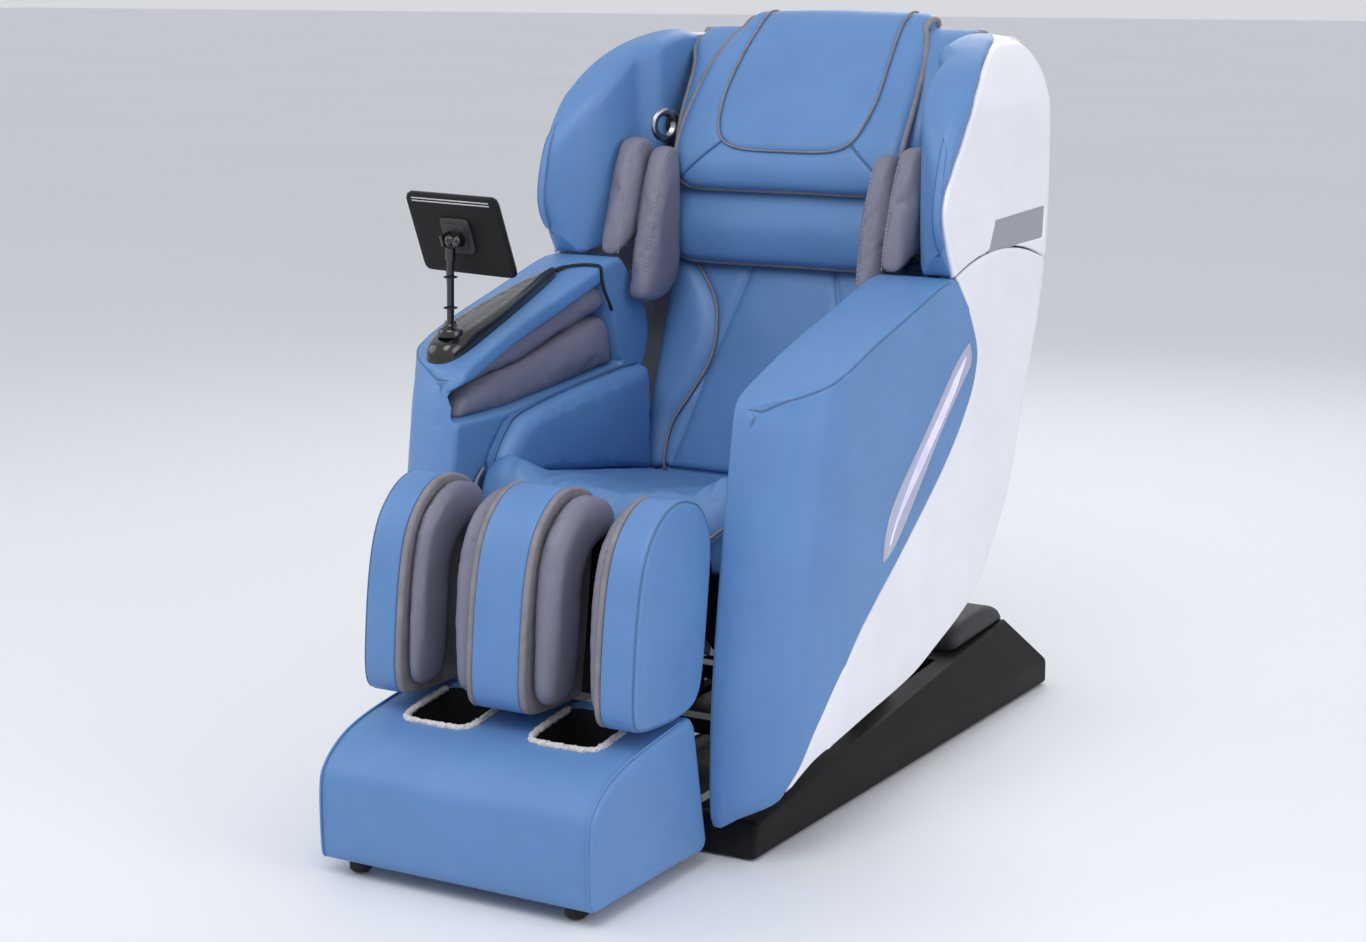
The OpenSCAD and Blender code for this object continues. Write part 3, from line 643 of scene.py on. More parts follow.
# ---- Arms: blue side panels with the forearm slot ----
arm_line = np.vstack([spline(ARM_FRONT + ARM_TOP), spline(BLUE_EDGE), spline(NOSE)])
front_line = np.vstack([spline(NOSE[1:] + ARM_FRONT), [(-334, 700), (-325, 760)]])
TOP_EDGE = spline([(-343, 649)] + ARM_TOP)


def front_drop(p):
    """The rounded front corner of the arm as it wraps round to the inside face."""
    x = panel_x(p)
    t = np.clip(1 - gap(front_line, p, False) / 66, 0, 1)
    return 0.84 * (x - 234) * (1 - np.sqrt(np.maximum(1 - t * t, 0)))


def soft_edge(line, p, r):
    """How far an edge rounded by r falls beside an open line."""
    t = np.clip(1 - gap(line, p, False) / r, 0, 1)
    return r * (1 - np.sqrt(np.maximum(1 - t * t, 0)))


ARM_INNER, SLOT_MOUTH = 230, 236


def arm(slot):
    """Side panel with a slot for the forearm sunk into its inner face."""
    reg = Region(arm_line, 11, 14, 5, [np.vstack([slot, slot[:1]])], (-6, -3, -0.5, 1.5, 4))
    outer = panel_x(reg.p) - front_drop(reg.p) - 0.7 * soft_edge(TOP_EDGE, reg.p, 7)
    outer += reg.puff(90) - soft_edge(spline(BLUE_EDGE), reg.p, 3)
    lip = gap(slot, reg.p) * np.where(inside(slot, reg.p), -1, 1)
    deep = np.maximum(np.minimum(276 + 56 * step01((reg.p[:, 0] + 348) / 70), outer - 9), SLOT_MOUTH)
    t = np.clip(1 - lip / 7, 0, 1)
    inner = ARM_INNER + reg.drop(8, 6)
    sunk = SLOT_MOUTH + (deep - SLOT_MOUTH) * step01(-lip / 6)
    inner = np.where(lip > 0, inner + 6 * (1 - np.sqrt(1 - t * t)), sunk)
    return reg.slab(outer, np.minimum(inner, outer - 3), 3)


piece("arm_panel_left", arm(slot_at(-318)), "blue", "seat", ["arm_left"])
piece("arm_panel_right", arm(slot_at(-430)), "blue", "seat", ["arm_right"], flip=True)
# A darker blue tube along the arm's top edge: painted shade in the crease.
crease = even(TOP_EDGE[:-4], 6)
_, left = sides_of(crease)
crease = crease - left * 2.2
path = side(panel_x(crease) - front_drop(crease) - 1.6, crease)
end = path[0]
path = np.vstack([[(x, end[1] - 0.5, end[2] + 0.5) for x in np.arange(240, end[0] - 3, 6)], path])
pair("arm_crease", tube(path, 1.6, 8), "blue_seam_shade", "seat")

# The air pads inside the slot.
upper = np.vstack([spline([(-336, 643), (-262, 662), (-170, 691), (-50, 723), (58, 753)]),
    spline([(84, 736), (92, 720), (50, 706), (-54, 683), (-147, 660), (-242, 648), (-320, 640)])])
lower = np.vstack([spline([(-334, 591), (-200, 591), (-40, 603.5), (104, 618.5)]),
    spline([(100, 660), (84, 693), (50, 694), (-54, 668), (-147, 648), (-242, 636), (-322, 622)])])
for name, line in (("forearm_pad_upper", upper), ("forearm_pad_lower", lower)):
    reg = Region(line, 8, 9, 4)
    swell = reg.puff(26, 30)
    wave = 1.6 * noise_at(reg.p, 34, 2.0)
    outer = np.minimum(328, panel_x(reg.p) - front_drop(reg.p) - 13)
    pad = reg.slab(outer - reg.drop(8), np.minimum(247 + reg.drop(11) - (9 + wave) * swell, outer - 9), 2)
    pair(name, plump(pad, 5), "grey", "seat", ["arm_airbags"] if name.endswith("upper") else [], 0.7)

# ---- Lower shells ----
white_line = np.vstack([spline(BLUE_EDGE[::-1]), seam(-1.5, 116, 462), spline(LOWER_REAR)[:-1]])
reg = Region(white_line, 14, 4, 3)
skin = panel_x(reg.p)
shell = reg.slab(skin - reg.drop(4, 3), skin - 8 + reg.drop(2, 1.5))
pair("lower_shell", shell, "white", "seat", ["side_shell_#"])


def shell_return(rear, reg, inset, outer, inner):
    """The rear wall of a side shell, trimmed to the shell's outer face."""
    x = np.minimum(reg.p[:, 0], section_x(rear.at(reg.p, 0)[:, 2]) - inset)
    q = np.stack([x, reg.p[:, 1]], 1)
    return reg.solid(rear.at(q, outer), rear.at(q, inner))


def across(sweep, x0, x1, step=8):
    """The outline of a band over the whole of a sweep."""
    end = sweep.s[-1] - 1
    return even([(x0, 1), (x1, 1), (x1, end), (x0, end)], step, True)


rear = Sweep(LOWER_REAR[:-2][::-1])
span = rear.s[-1]
wall = [(262, 6), (357, 6), (360, span * 0.5), (358, span - 2), (238, span - 2), (239, span * 0.5)]
reg = Region(even(wall, 9, True), 14, 3, 2)
pair("lower_shell_return", shell_return(rear, reg, 1.2, 4.5, 1.5), "white", "seat")

# ---- Wings and upper shells ----
wing_line = np.vstack([seam(1.5, 112, 466), spline(WING_RIM)])
SHELL = np.vstack([seam(1.5, 108, 466), spline([(466, 800), (473, 893), (470, 1043), (458, 1095), (428, 1134),
    (370, 1148), (338, 1138), (300, 1127), (249, 1106), (209, 1079), (171, 1044), (133, 997), (96, 951), (76, 922),
    (66, 890), (80, 846), (106, 799)])])
HOLLOW = spline([(0, 352), (58, 347), (80, 333), (104, 312), (130, 294), (158, 282), (196, 276), (236, 276),
    (256, 264), (276, 252), (300, 252), (480, 252)])


reg = Region(wing_line, 11, 16, 5)
bare = np.where(inside(SHELL, reg.p), 0, step01(gap(SHELL, reg.p) / 7)) * step01((reg.p[:, 1] - 815) / 30)
outside = section_x(reg.p[:, 1]) - 7.6 + 6.6 * bare
hollow = np.minimum(np.maximum(np.interp(reg.p[:, 0], HOLLOW[:, 0], HOLLOW[:, 1]), 252), outside - 5)
room = outside - hollow
rim = step01((reg.p[:, 1] - 815) / 30)
inner = hollow + reg.drop(16, np.minimum(22 * rim + 2, room * 0.8)) - 2.5 * reg.puff(70) * rim
wing = reg.slab(outside - reg.drop(20, 15) * bare - reg.drop(3, 2), inner, 3)
pair("wing_panel", wing, "blue", "back", ["wing_#"], 0.9)
VENT = [(258, 868), (458, 876), (453, 822), (232, 818)]
vent_line = np.vstack([spline([VENT[k - 4], VENT[k - 3]], n=4) for k in range(4)])
reg = Region(SHELL, 13, 5, 4, [np.vstack([vent_line, vent_line[:1]])], (-2.5, -0.8, 0.8, 2.5))
skin = section_x(reg.p[:, 1])
sunk = np.where(inside(vent_line, reg.p), step01(gap(vent_line, reg.p) / 2.2), 0)
pair("upper_shell_skin", reg.slab(skin - reg.drop(5, 4) - 4 * sunk, skin - 8), "white", "back", ["upper_shell_#"])
reg = Region(even(vent_line, 6, True), 12, 2, 2)
skin = section_x(reg.p[:, 1])
pair("vent_panel", reg.slab(skin - 2.2 - reg.drop(2, 0.8), skin - 6), "vent", "back", ["shell_vents"])
rear = Sweep([(461, 796), (472, 893), (470, 1043), (460, 1092), (436, 1126), (408, 1142)])
reg = Region(across(rear, 236, 357), 14, 3, 2)
pair("upper_shell_return", shell_return(rear, reg, 1.0, -3.6, 3.0), "white", "back")

# ---- Shoulder pads ----
inner_pad = spline([(150, 716), (112, 726), (116, 770), (128, 830), (146, 890), (166, 940), (186, 964), (214, 966),
    (229, 950), (230, 880), (230, 800), (223, 752), (190, 724)], True)
arc = seam(3, 106, 230)[::-1]
outer_pad = np.vstack([arc[:1], arc, spline([(110, 824), (128, 880), (148, 935), (168, 970), (190, 980), (216, 976),
    (230, 960)])])
for name, line, x0, x1 in (("shoulder_pad_inner", inner_pad, 183, 224),
        ("shoulder_pad_outer", outer_pad, 231, 275)):
    reg = Region(line, 9, 13, 5)
    swell = reg.puff(55, 40)
    soft = 1.2 * noise_at(reg.p, 60, 5.0)
    pad = reg.slab(x1 - 4 - reg.drop(11, 12) + 2 * swell, x0 + 3 + reg.drop(13, 14) - (3 + soft) * swell, 2)
    pair(name, plump(pad, 5), "grey", "back", ["shoulder_airbags"] if "inner" in name else [], 0.7)
    # Stitching inside the edge, apart from the hidden lower end.
    rim = even(reg.loop, 6, True)
    way = np.roll(rim, -1, 0) - np.roll(rim, 1, 0)
    way /= np.linalg.norm(way, axis=1)[:, None]
    q = rim + np.stack([-way[:, 1], way[:, 0]], 1) * 5.0
    q = q[q[:, 1] > 745]
    start = int(np.argmax(np.linalg.norm(q - np.roll(q, 1, 0), axis=1)))
    pair(name + "_stitch", stitches(side(x0 + 6.2, np.roll(q, -start, 0))), "thread", "back")

# ---- Speakers ----
def speaker(profile):
    """Turned part at the left speaker's place, facing the head."""
    return turned(turned(lathe(profile), (0, 1, 0), -90), (0, 0, 1), 24, (255, 286, 994))


ring = [(0, -9), (30, -9), (30, 2), (29, 8.6), (26, 10.6), (22, 10.6), (18, 9.2), (15, 5.6), (12.5, 3.0), (9, 3.4),
    (0, 3.4)]
pair("speaker_ring", speaker(ring), "silver", "back", ["speakers"], sharp=50)
cone = [(0, 3.4), (11, 3.4), (11, 4.4), (7, 5.6), (0, 6.2)]
pair("speaker_grille", speaker(cone), "hood", "back", slot="speaker_trim")

# ---- Light strips ----
reg = Region(even(STRIP, 5, True), 8, 3.4, 4)
skin = panel_x(reg.p)
frame_part = reg.slab(skin + 3.4 - reg.drop(3.4, 2.2) - 1.0 * step01((reg.d - 4) / 3), skin - 2.4)
pair("light_strip_frame", frame_part, "lens", "seat", ["light_strips"])
mid = spline([(150, 668), (70, 594), (-16, 522), (-84, 459), (-112, 420)])
core = even(mid, 5)
_, left = sides_of(core)
taper = np.interp(np.arange(len(core)) / len(core), [0, 0.15, 0.6, 1], [1.6, 8.5, 9.0, 1.2])
core_line = np.vstack([core + left * taper[:, None], (core - left * taper[:, None])[::-1]])
reg = Region(core_line, 5, 1.8, 2)
skin = panel_x(reg.p)
pair("light_strip_core", reg.slab(skin + 3.8 - reg.drop(2.2, 1.2), skin - 1), "lamp", "seat")

# ---- Back cushion, upper cushion and head pillow ----
lower_back = Sweep([(172, 434), (163, 450), (186, 520), (215, 600), (247, 700), (268, 760), (290, 798)])
edge_curve = spline([(214, 800), (182, 772), (136, 716), (122, 660), (128, 610), (152, 560), (176, 515), (182, 474),
    (180, 430)])
centre = spline([(78, 800), (80, 760), (104, 680), (128, 600), (150, 520), (168, 450)])
lines = []
for s in (1, -1):
    lines += [lower_back.flat(edge_curve * (s, 1)), lower_back.flat(centre * (s, 1))]
outline = lower_back.flat([(-229, 437), (229, 437), (229, 796), (-229, 796)])
reg = Region(even(outline, 8, True), 11, 14, 4, lines)
z = lower_back.at(reg.p, 0)[:, 2]
order = np.argsort(edge_curve[:, 1])
past = np.abs(reg.p[:, 0]) - np.interp(z, edge_curve[order, 1], edge_curve[order, 0])
bolster = 10 * step01(past / 30) * step01((228 - np.abs(reg.p[:, 0])) / 26 + 0.25)
h = bolster - reg.drop(14, 12) + 4 * reg.puff(60, 40, lines)
for k, line in enumerate(lines):
    h -= reg.groove(line, 5.0 if k % 2 else 3.4, 4.5)
h += 0.9 * grain(lower_back.at(reg.p, 0), 55, 1.0)
cover = reg.solid(lower_back.at(reg.p, h), lower_back.at(reg.p, -24))
piece("back_cushion_cover", cover, "blue", "back", ["back_cushion", "side_bolsters"], 0.6)
for s, name in ((1, "left"), (-1, "right")):
    q = even(lower_back.flat(edge_curve[2:] * (s, 1)), 6)
    piece(f"back_cushion_piping_{name}", tube(lower_back.at(q, 1.6), 2.4), "pipe", "back")

upper_back = Sweep([(252, 762), (245, 773), (236, 795), (232, 834), (241, 864), (257, 892), (270, 930), (284, 1000),
    (338, 1088), (392, 1137), (436, 1157), (452, 1159)])
outline = spline(mirrored([(0, 772), (150, 772), (196, 778), (218, 806), (224, 880), (226, 1000), (230, 1090),
    (250, 1130), (250, 1152), (236, 1158), (0, 1158)]), True)
flat = upper_back.flat(outline)
reg = Region(flat, 11, 20, 5)
h = -reg.drop(18, 13) + 4 * reg.puff(80, 50) + 0.8 * grain(upper_back.at(reg.p, 0), 60, 7.0)
cover = reg.solid(upper_back.at(reg.p, h), upper_back.at(reg.p, -26))
piece("upper_back_cushion", cover, "blue", "back", ["neck_pad"], 0.75)
q = even(flat, 6, True)
piece("upper_back_piping", tube(upper_back.at(q, -9.5), 4.8, 10, True), "pipe", "back")

pillow = Sweep([(238, 886), (228, 902), (224, 930), (232, 960), (256, 1004), (328, 1093), (385, 1150), (420, 1174),
    (446, 1180), (464, 1176), (474, 1164)])
outline = spline(mirrored([(0, 892), (150, 892), (184, 900), (200, 926), (204, 1000), (198, 1080), (188, 1124),
    (168, 1160), (140, 1176), (0, 1178)]), True)
flat = pillow.flat(outline)
half = [(0, 962), (84, 965), (122, 984), (138, 1034), (138, 1085), (128, 1176)]
panel = pillow.flat(spline([(-x, z) for x, z in half[:0:-1]] + half))
diagonals = [pillow.flat([(s * 116, 977), (s * 186, 916)]) for s in (1, -1)]
reg = Region(flat, 10, 24, 6, [panel] + diagonals)
h = -reg.drop(22, 15) + 6 * reg.puff(90, 60, [panel] + diagonals) + 0.8 * grain(pillow.at(reg.p, 0), 60, 9.0)
h -= reg.groove(panel, 2.6, 4.0) + sum(reg.groove(d, 2.4, 4.0) for d in diagonals)
cover = reg.solid(pillow.at(reg.p, h), pillow.at(reg.p, -42 + 10 * reg.puff(60, 20)), 2)
piece("head_pillow_cover", cover, "blue", "back", ["head_pillow"], 0.8)
q = even(flat, 6, True)
piece("head_pillow_piping", tube(pillow.at(q, -11.0), 5.2, 10, True), "pipe", "back")
q = even(panel, 6)
piece("head_pillow_inset_piping", tube(pillow.at(q, 1.2), 1.9, 8), "pipe", "back")
# Darker blue tubes on the diagonal seams: painted shade in the seam grooves.
for s, d in zip(("left", "right"), diagonals):
    piece(f"head_pillow_seam_{s}", tube(pillow.at(even(d, 6), -0.2), 1.2, 8), "blue_seam_shade", "back")

# ---- Seat ----
HIP_TOP = [(-294, 510), (-286, 534), (-257, 566), (-222, 586), (-104, 604), (58, 617), (128, 618)]
hip = np.vstack([spline([(-292, 492)] + HIP_TOP + [(143, 612)]), [(146, 434), (0, 456), (-200, 483)]])
ridge = spline([(-278, 496), (-279, 512), (-272, 528), (-247, 555), (-215, 573), (-104, 590), (58, 603),
    (138, 604)])
reg = Region(even(hip, 7, True), 9, 12, 5, [ridge])
swell = reg.puff(60, 40)
inner = 194 + reg.drop(12, 14) - (7 + 1.5 * noise_at(reg.p, 50, 4.0)) * swell + reg.groove(ridge, 1.8, 3.0)
pair("hip_pad", plump(reg.slab(ARM_INNER, inner, 2), 5), "blue", "seat", ["hip_pads"], 0.8)
# Darker blue piping along the hip pad's top: painted shade along its edge.
lead = even(spline([(-292, 494)] + HIP_TOP), 6)
pair("hip_pad_piping", tube(side(212.0, lead), 2.2, 8), "blue_seam_shade", "seat")

PROFILE = np.array([(-346, 430), (-341, 462), (-332, 482), (-308, 496), (-200, 490), (0, 459), (150, 436)], float)


def seat_top(p):
    """Height of the seat: its side-view profile, rolled up at the front corners and dished for the sitter."""
    x, y = np.abs(p[:, 0]), p[:, 1]
    z = np.interp(y, PROFILE[:, 0], PROFILE[:, 1])
    side_roll = 34 * step01((x - 120) / 70) * np.exp(-((y + 282) / 46) ** 2)
    dish = -9 * np.exp(-(x / 120) ** 2) * step01((y + 330) / 140)
    wells = 7 * np.exp(-((x - 100) / 62) ** 2) * step01((-y - 60) / 160)
    return z + side_roll + dish + wells


half = [(150, -336), (203, -331), (222, -310), (226, -200), (226, 60), (220, 138), (150, 150)]
seat_line = spline([(-150, -336), (0, -338)] + half + [(-x, y) for x, y in half[:0:-1]], True)
reg = Region(seat_line, 9, 26, 6)
x, y = reg.p[:, 0], reg.p[:, 1]
near = step01((-y - 170) / 150)
flow = np.stack([x / 26 + y / 120 * np.sign(x), y / 90, 0 * x], 1)
plan = np.stack([x, y, 0 * x], 1)
crumple = np.array([noise.noise(Vector(q)) for q in flow]) * 7 * near + 2.2 * grain(plan * (1, 0.6, 1), 22,
    3.0) * near
gathers = np.sin(x / 3.9 + 3.2 * grain(plan, 60, 9.0))
crumple += 1.5 * gathers * step01((-y - 225) / 60) * step01((226 - np.abs(x)) / 40)
crumple += 1.5 * grain(plan, 70, 6.0)
top = np.stack([x, y, seat_top(reg.p) - reg.drop(28, 34) + crumple * step01(reg.d / 12)], 1)
low = np.stack([x, y, 401 + reg.drop(10, 8)], 1)
piece("seat_cushion_cover", plump(reg.solid(top, low, 5), 6, 6), "blue", "seat", ["seat_cushion"], 0.5)
q = even(spline([(-224, -300, 512), (-222, -324, 491), (-205, -336, 468), (-150, -341, 446), (0, -343, 436),
    (150, -341, 440), (205, -336, 468), (222, -324, 491), (224, -300, 512)]), 6)
piece("seat_front_piping", tube(q, 2.6, 8), "pipe", "seat")

# ---- Calf rest: local (u forward-back, w up the rest) is leaned about the lift pivot ----
LEAN = math.radians(8)


def calf(x, p):
    """3-D points from x and the calf rest's own side-view points."""
    u, w = p[:, 0], p[:, 1]
    return np.stack([x + 0 * u, -378 + u * math.cos(LEAN) + w * math.sin(LEAN),
        466 - u * math.sin(LEAN) + w * math.cos(LEAN)], 1)


CALF = spline([(-10, -180), (-9, -60), (-12, -8), (-24, 22), (-44, 45), (-68, 57), (-111, 60), (-150, 43),
    (-182, 7), (-198, -36), (-204, -95), (-203, -166), (-198, -222), (-186, -248), (-160, -254), (-100, -249),
    (-50, -240), (-22, -222)], True)
reg = Region(CALF, 10, 12, 5)
crown = reg.puff(70, 40)
outer_face = calf(226 - reg.drop(13, 10) + 0.5 * crown, reg.p)
outer_face[:, 0] -= 2.0 * np.exp(-((reg.d - 15) / 4.0) ** 2)
# Darker blue welt inside the calf box's edge: painted shade in the seam.
welt = even(np.roll(CALF, -24, 0)[:100], 6)
_, left = sides_of(welt)
pair("calf_side_welt", tube(calf(222.6, welt + left * 3.0), 1.6, 8), "blue_seam_shade", "leg")
part = reg.solid(outer_face, calf(171 + reg.drop(4, 4), reg.p), 4)
pair("calf_side_box", part, "blue", "leg", ["calf_box_#"], 0.85)
part = reg.solid(calf(39 - reg.drop(4, 4), reg.p), calf(-39 + reg.drop(4, 4), reg.p), 6)
piece("calf_centre_box", part, "blue", "leg", ["calf_box_centre"], 0.85)
reg = Region(CALF, 12, 5, 4)
dish = 2 * step01((reg.d - 8) / 8)
for name, x in (("calf_side_piping", 165.8), ("calf_centre_piping", 43.5)):
    part = reg.solid(calf(x + 5.2 - reg.drop(5, 4.6) - dish, reg.p), calf(x - 5.2 + reg.drop(5, 4.6) + dish, reg.p),
        2)
    pair(name, part, "pipe", "leg")
BAG = spline([(-108, -200), (-106, -100), (-98, -48), (-66, -14), (-34, 4), (-30, 26), (-48, 46), (-74, 53),
    (-112, 53), (-147, 36), (-176, 2), (-190, -40), (-195, -100), (-193, -170), (-186, -222), (-168, -240),
    (-138, -239), (-116, -228)], True)
reg = Region(BAG, 9, 14, 5)
swell = reg.puff(50, 40)
soft = 1.3 * noise_at(reg.p, 55, 8.0)
pad = reg.solid(calf(79 - reg.drop(15, 15) + (4 + soft) * swell, reg.p), calf(52 + reg.drop(8, 8), reg.p), 2)
pair("calf_pad_centre", plump(pad, 5), "grey", "leg", ["calf_airbags"], 0.7)
pad = reg.solid(calf(158 - reg.drop(6, 6), reg.p), calf(144 + reg.drop(12, 11) - (3 + soft) * swell, reg.p), 2)
pair("calf_pad_side", plump(pad, 4), "grey", "leg", fill=0.7)
# Black sheets on the side walls of the calf wells: painted shade in the deep wells.
wall = Region(spline([(-20, -190), (-18, -20), (-40, 30), (-70, 44), (-112, 46), (-146, 30), (-172, 0), (-184, -40),
    (-190, -100), (-188, -180), (-182, -230), (-150, -240), (-60, -232)], True), 14, 4, 2)
for name, x0, x1 in (("side", 165, 170.6), ("centre", 39.5, 45)):
    pair(f"calf_wall_lining_{name}", wall.solid(calf(x1, wall.p), calf(x0, wall.p)), "lining_and_shade", "leg")
# A black sheet across the back of the calf wells: painted shade in the deep wells.
back = Sweep([(-40, -236), (-34, -120), (-34, -20), (-38, 8)])
reg = Region(across(back, -160, 160, 9), 12, 4, 2)
faces = [calf(q[:, 0], q[:, 1:]) for q in (back.at(reg.p, 6 + 0.8 * grain(np.c_[reg.p, 0 * reg.d], 30, 1.0)),
    back.at(reg.p, 0))]
piece("calf_well_painted_shade", reg.solid(*faces), "lining_and_shade", "leg")

# ---- Foot rest ----
FOOT_TOP = [(-714, 128), (-702, 160), (-666, 187), (-620, 203), (-558, 214)]
FOOT = np.vstack([spline([(-707, 24), (-713.5, 40)] + FOOT_TOP + [(-474, 225)]),
    [(-452, 228), (-440, 214), (-405, 34), (-414, 22)], [(-560, 22), (-698, 21)]])
reg = Region(FOOT, 11, 11, 5)
sag = 1.2 * noise_at(reg.p, 90, 2.0) * reg.puff(50)
FOOT_HALF = 226.5
foot_part = reg.slab(FOOT_HALF - reg.drop(11, 8) + sag, -FOOT_HALF + reg.drop(11, 8) + sag, 40)
foot = piece("foot_rest_box", foot_part, "blue", "foot", ["foot_box"], 0.8)
WELL = np.vstack([[(-601, 320), (-601, 204)], spline([(-612, 190), (-672, 142), (-689, 110), (-690, 60),
    (-680, 48)]), [(-446, 48), (-482, 236), (-486, 320)]])
reg = Region(WELL, 12, 16, 4)
wells = [reg.slab(x + 116 - reg.drop(16, 16), x + reg.drop(16, 16), 3) for x in (48.0, -164.0)]
# The cut faces inside the foot wells take the black: painted shade in the wells.
carve(foot, wells, "lining_and_shade", "TRANSFER", 50)
mouth = even(spline([(48, -490), (48, -560), (50, -586), (62, -600), (106, -602), (150, -600), (162, -586),
    (164, -560), (164, -490)]), 4)
top_line = np.array(FOOT_TOP + [(-474, 225)], float)
z = np.interp(mouth[:, 1], top_line[:, 0], top_line[:, 1])
welt = even(spline([(-707, 26), (-713.5, 42)] + FOOT_TOP + [(-476, 224.5)]), 7)
_, left = sides_of(welt)
for s, name, seed in ((1, "left", 1.0), (-1, "right", 5.0)):
    fluff = np.stack([mouth[:, 0] * s, mouth[:, 1], z + 1.0], 1)
    piece(f"foot_well_fleece_{name}", tube(fluff, 5.0, 14, seed=seed), "fleece", "foot")
    piece(f"foot_rest_welt_{name}", tube(side(s * (FOOT_HALF - 6), welt + left * 1.2), 1.7, 8), "blue", "foot")


# ---- Hard parts ----
def hull(points, bevel, segments=3):
    """Bevelled convex body of 3-D points."""
    bm = bmesh.new()
    for p in points:
        bm.verts.new(p)
    made = bmesh.ops.convex_hull(bm, input=bm.verts)
    loose = [g for g in made["geom_interior"] + made["geom_unused"] if isinstance(g, bmesh.types.BMVert)]
    bmesh.ops.delete(bm, geom=loose, context="VERTS")
    bmesh.ops.dissolve_limit(bm, angle_limit=0.02, verts=bm.verts, edges=bm.edges)
    bmesh.ops.recalc_face_normals(bm, faces=bm.faces)
    bmesh.ops.bevel(bm, geom=bm.edges[:], offset=bevel, segments=segments, affect="EDGES", profile=0.6)
    bm.verts.index_update()
    part = np.array([v.co[:] for v in bm.verts]), [tuple(v.index for v in f.verts) for f in bm.faces]
    bm.free()
    return part


def box_part(x0, x1, y0, y1, z0, z1, bevel=3):
    return hull([(x, y, z) for x in (x0, x1) for y in (y0, y1) for z in (z0, z1)], bevel)


FLANGE = [(283, -370, 3), (283, -355, 45), (283, 714, 45), (283, 714, 3)]
CREST = [(276, -352, 53), (234, 636, 129)]
base_pts = [(s * x, y, z) for row in (FLANGE, CREST) for s in (1, -1) for x, y, z in row]
cover = piece("base_cover_shell", hull(base_pts, 7, 4), "black", "base", ["base_cover"], sharp=40)
openings = box_part(-214, 214, -330, 392, 40, 240, 8), box_part(-276, 276, -348, 708, -20, 38, 3)
carve(cover, openings, "black", "INDEX", 40)
hood_line = np.vstack([spline([(432, 114), (434, 142), (470, 160), (560, 165), (616, 153), (640, 128)]),
    [(640, 126)]])
reg = Region(hood_line, 9, 10, 5)
part = reg.slab(231 - reg.drop(12, 16), -231 + reg.drop(12, 16), 10)
piece("base_hood_cover", part, "hood", "base", ["base_hood"], slot="hood_plastic")

# Rear cover with a raised centre panel.
rear = Sweep([(330, 437), (386, 583), (433, 700), (461, 800), (468, 893), (466, 1043), (461, 1092), (454, 1128),
    (448, 1150)])
L = rear.s[-1]
half = [(0, 48), (150, 60), (176, 120), (182, L * 0.5), (170, L - 150), (130, L - 102), (0, L - 90)]
panel = spline(mirrored(half)[-1:] + mirrored(half)[:-1], True)
slots = [even([(-70, s), (70, s)], 8) for s in np.arange(L * 0.60, L * 0.60 + 90, 18)]
reg = Region(across(rear, -231, 231), 13, 10, 4, [np.vstack([panel, panel[:1]])] + slots)
raised = step01(np.where(inside(panel, reg.p), gap(panel, reg.p), 0) / 14)
h = reg.drop(10, 5) - 5.0 * raised + reg.groove(panel, 2.4, 3.0, True)
for s in slots:
    h += reg.groove(s, 3.2, 2.6)
piece("rear_cover_panel", reg.solid(rear.at(reg.p, 7.0), rear.at(reg.p, h - 0.5)), "white", "back", ["rear_cover"])

# Soft gusset below the rear cover, and the bridge between seat and back cushions.
gus = Sweep([(120, 250), (190, 286), (262, 362), (318, 430), (336, 462)])
outline = even([(48, 1), (250, 1), (228, gus.s[-1] - 1), (48, gus.s[-1] - 1)], 8, True)
reg = Region(outline, 11, 5, 2)
h = 3.5 * np.sin(reg.p[:, 1] / 11.0) * step01(reg.d / 25) + 1.5 * grain(np.c_[reg.p, 0 * reg.d], 40, 2.0)
for hand, flip in (("left", False), ("right", True)):
    part = reg.solid(gus.at(reg.p, h + 1.5), gus.at(reg.p, h - 1.5))
    ob = piece("rear_gusset_" + hand, part, "lining_and_shade", "seat", flip=flip, ride=False)
    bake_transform(ob)
bridge = Sweep([(120, 436), (148, 431), (166, 436), (176, 462), (186, 490)])
reg = Region(across(bridge, -205, 205), 9, 5, 2)
ob = piece("seat_back_bridge", reg.solid(bridge.at(reg.p, -3), bridge.at(reg.p, -6)), "blue", "seat", ride=False)
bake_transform(ob)

# ---- Tablet, its stand and base ----
line = np.array([(-328, 694), (-262, 718), (-170, 742), (-50, 773), (0, 784), (16, 778), (26, 770)], float)
leaf = spline([(0, -324), (17, -320), (28, -304), (33, -276), (34, -230), (31, -170), (23, -100), (14, -40),
    (8, -4), (0, 12)])
oval = np.vstack([leaf, (leaf * (-1, 1))[::-1][1:-1]]) + (-292, 0)
reg = Region(oval, 8, 12, 5)
arm_z = np.interp(reg.p[:, 1], [-338, -324, -262, -170, -50, 60], [650, 668, 692, 722, 754, 784])
top_z = np.interp(reg.p[:, 1], line[:, 0], line[:, 1])
rise = np.maximum(top_z - arm_z, 17)
ztop = arm_z + rise - reg.drop(12, rise * 0.62) - 2.2 * np.exp(-((reg.d - 17) / 2.4) ** 2)
part = reg.solid(np.c_[reg.p, ztop], np.c_[reg.p, arm_z - 5], 2)
piece("tablet_base_body", part, "gloss", "seat", ["tablet_base"])

AT, YAW, BACK, HINGE = np.array([-264, -291, 862.0]), -12, 19, 23
rot = np.array(Matrix.Rotation(math.radians(YAW), 3, "Z") @ Matrix.Rotation(math.radians(BACK), 3, "X"))


def tablet(part):
    """Puts a part drawn about the hinge in the tablet's place."""
    v, f = part
    return (np.array(v) + (0, -HINGE, 0)) @ rot.T + AT, f


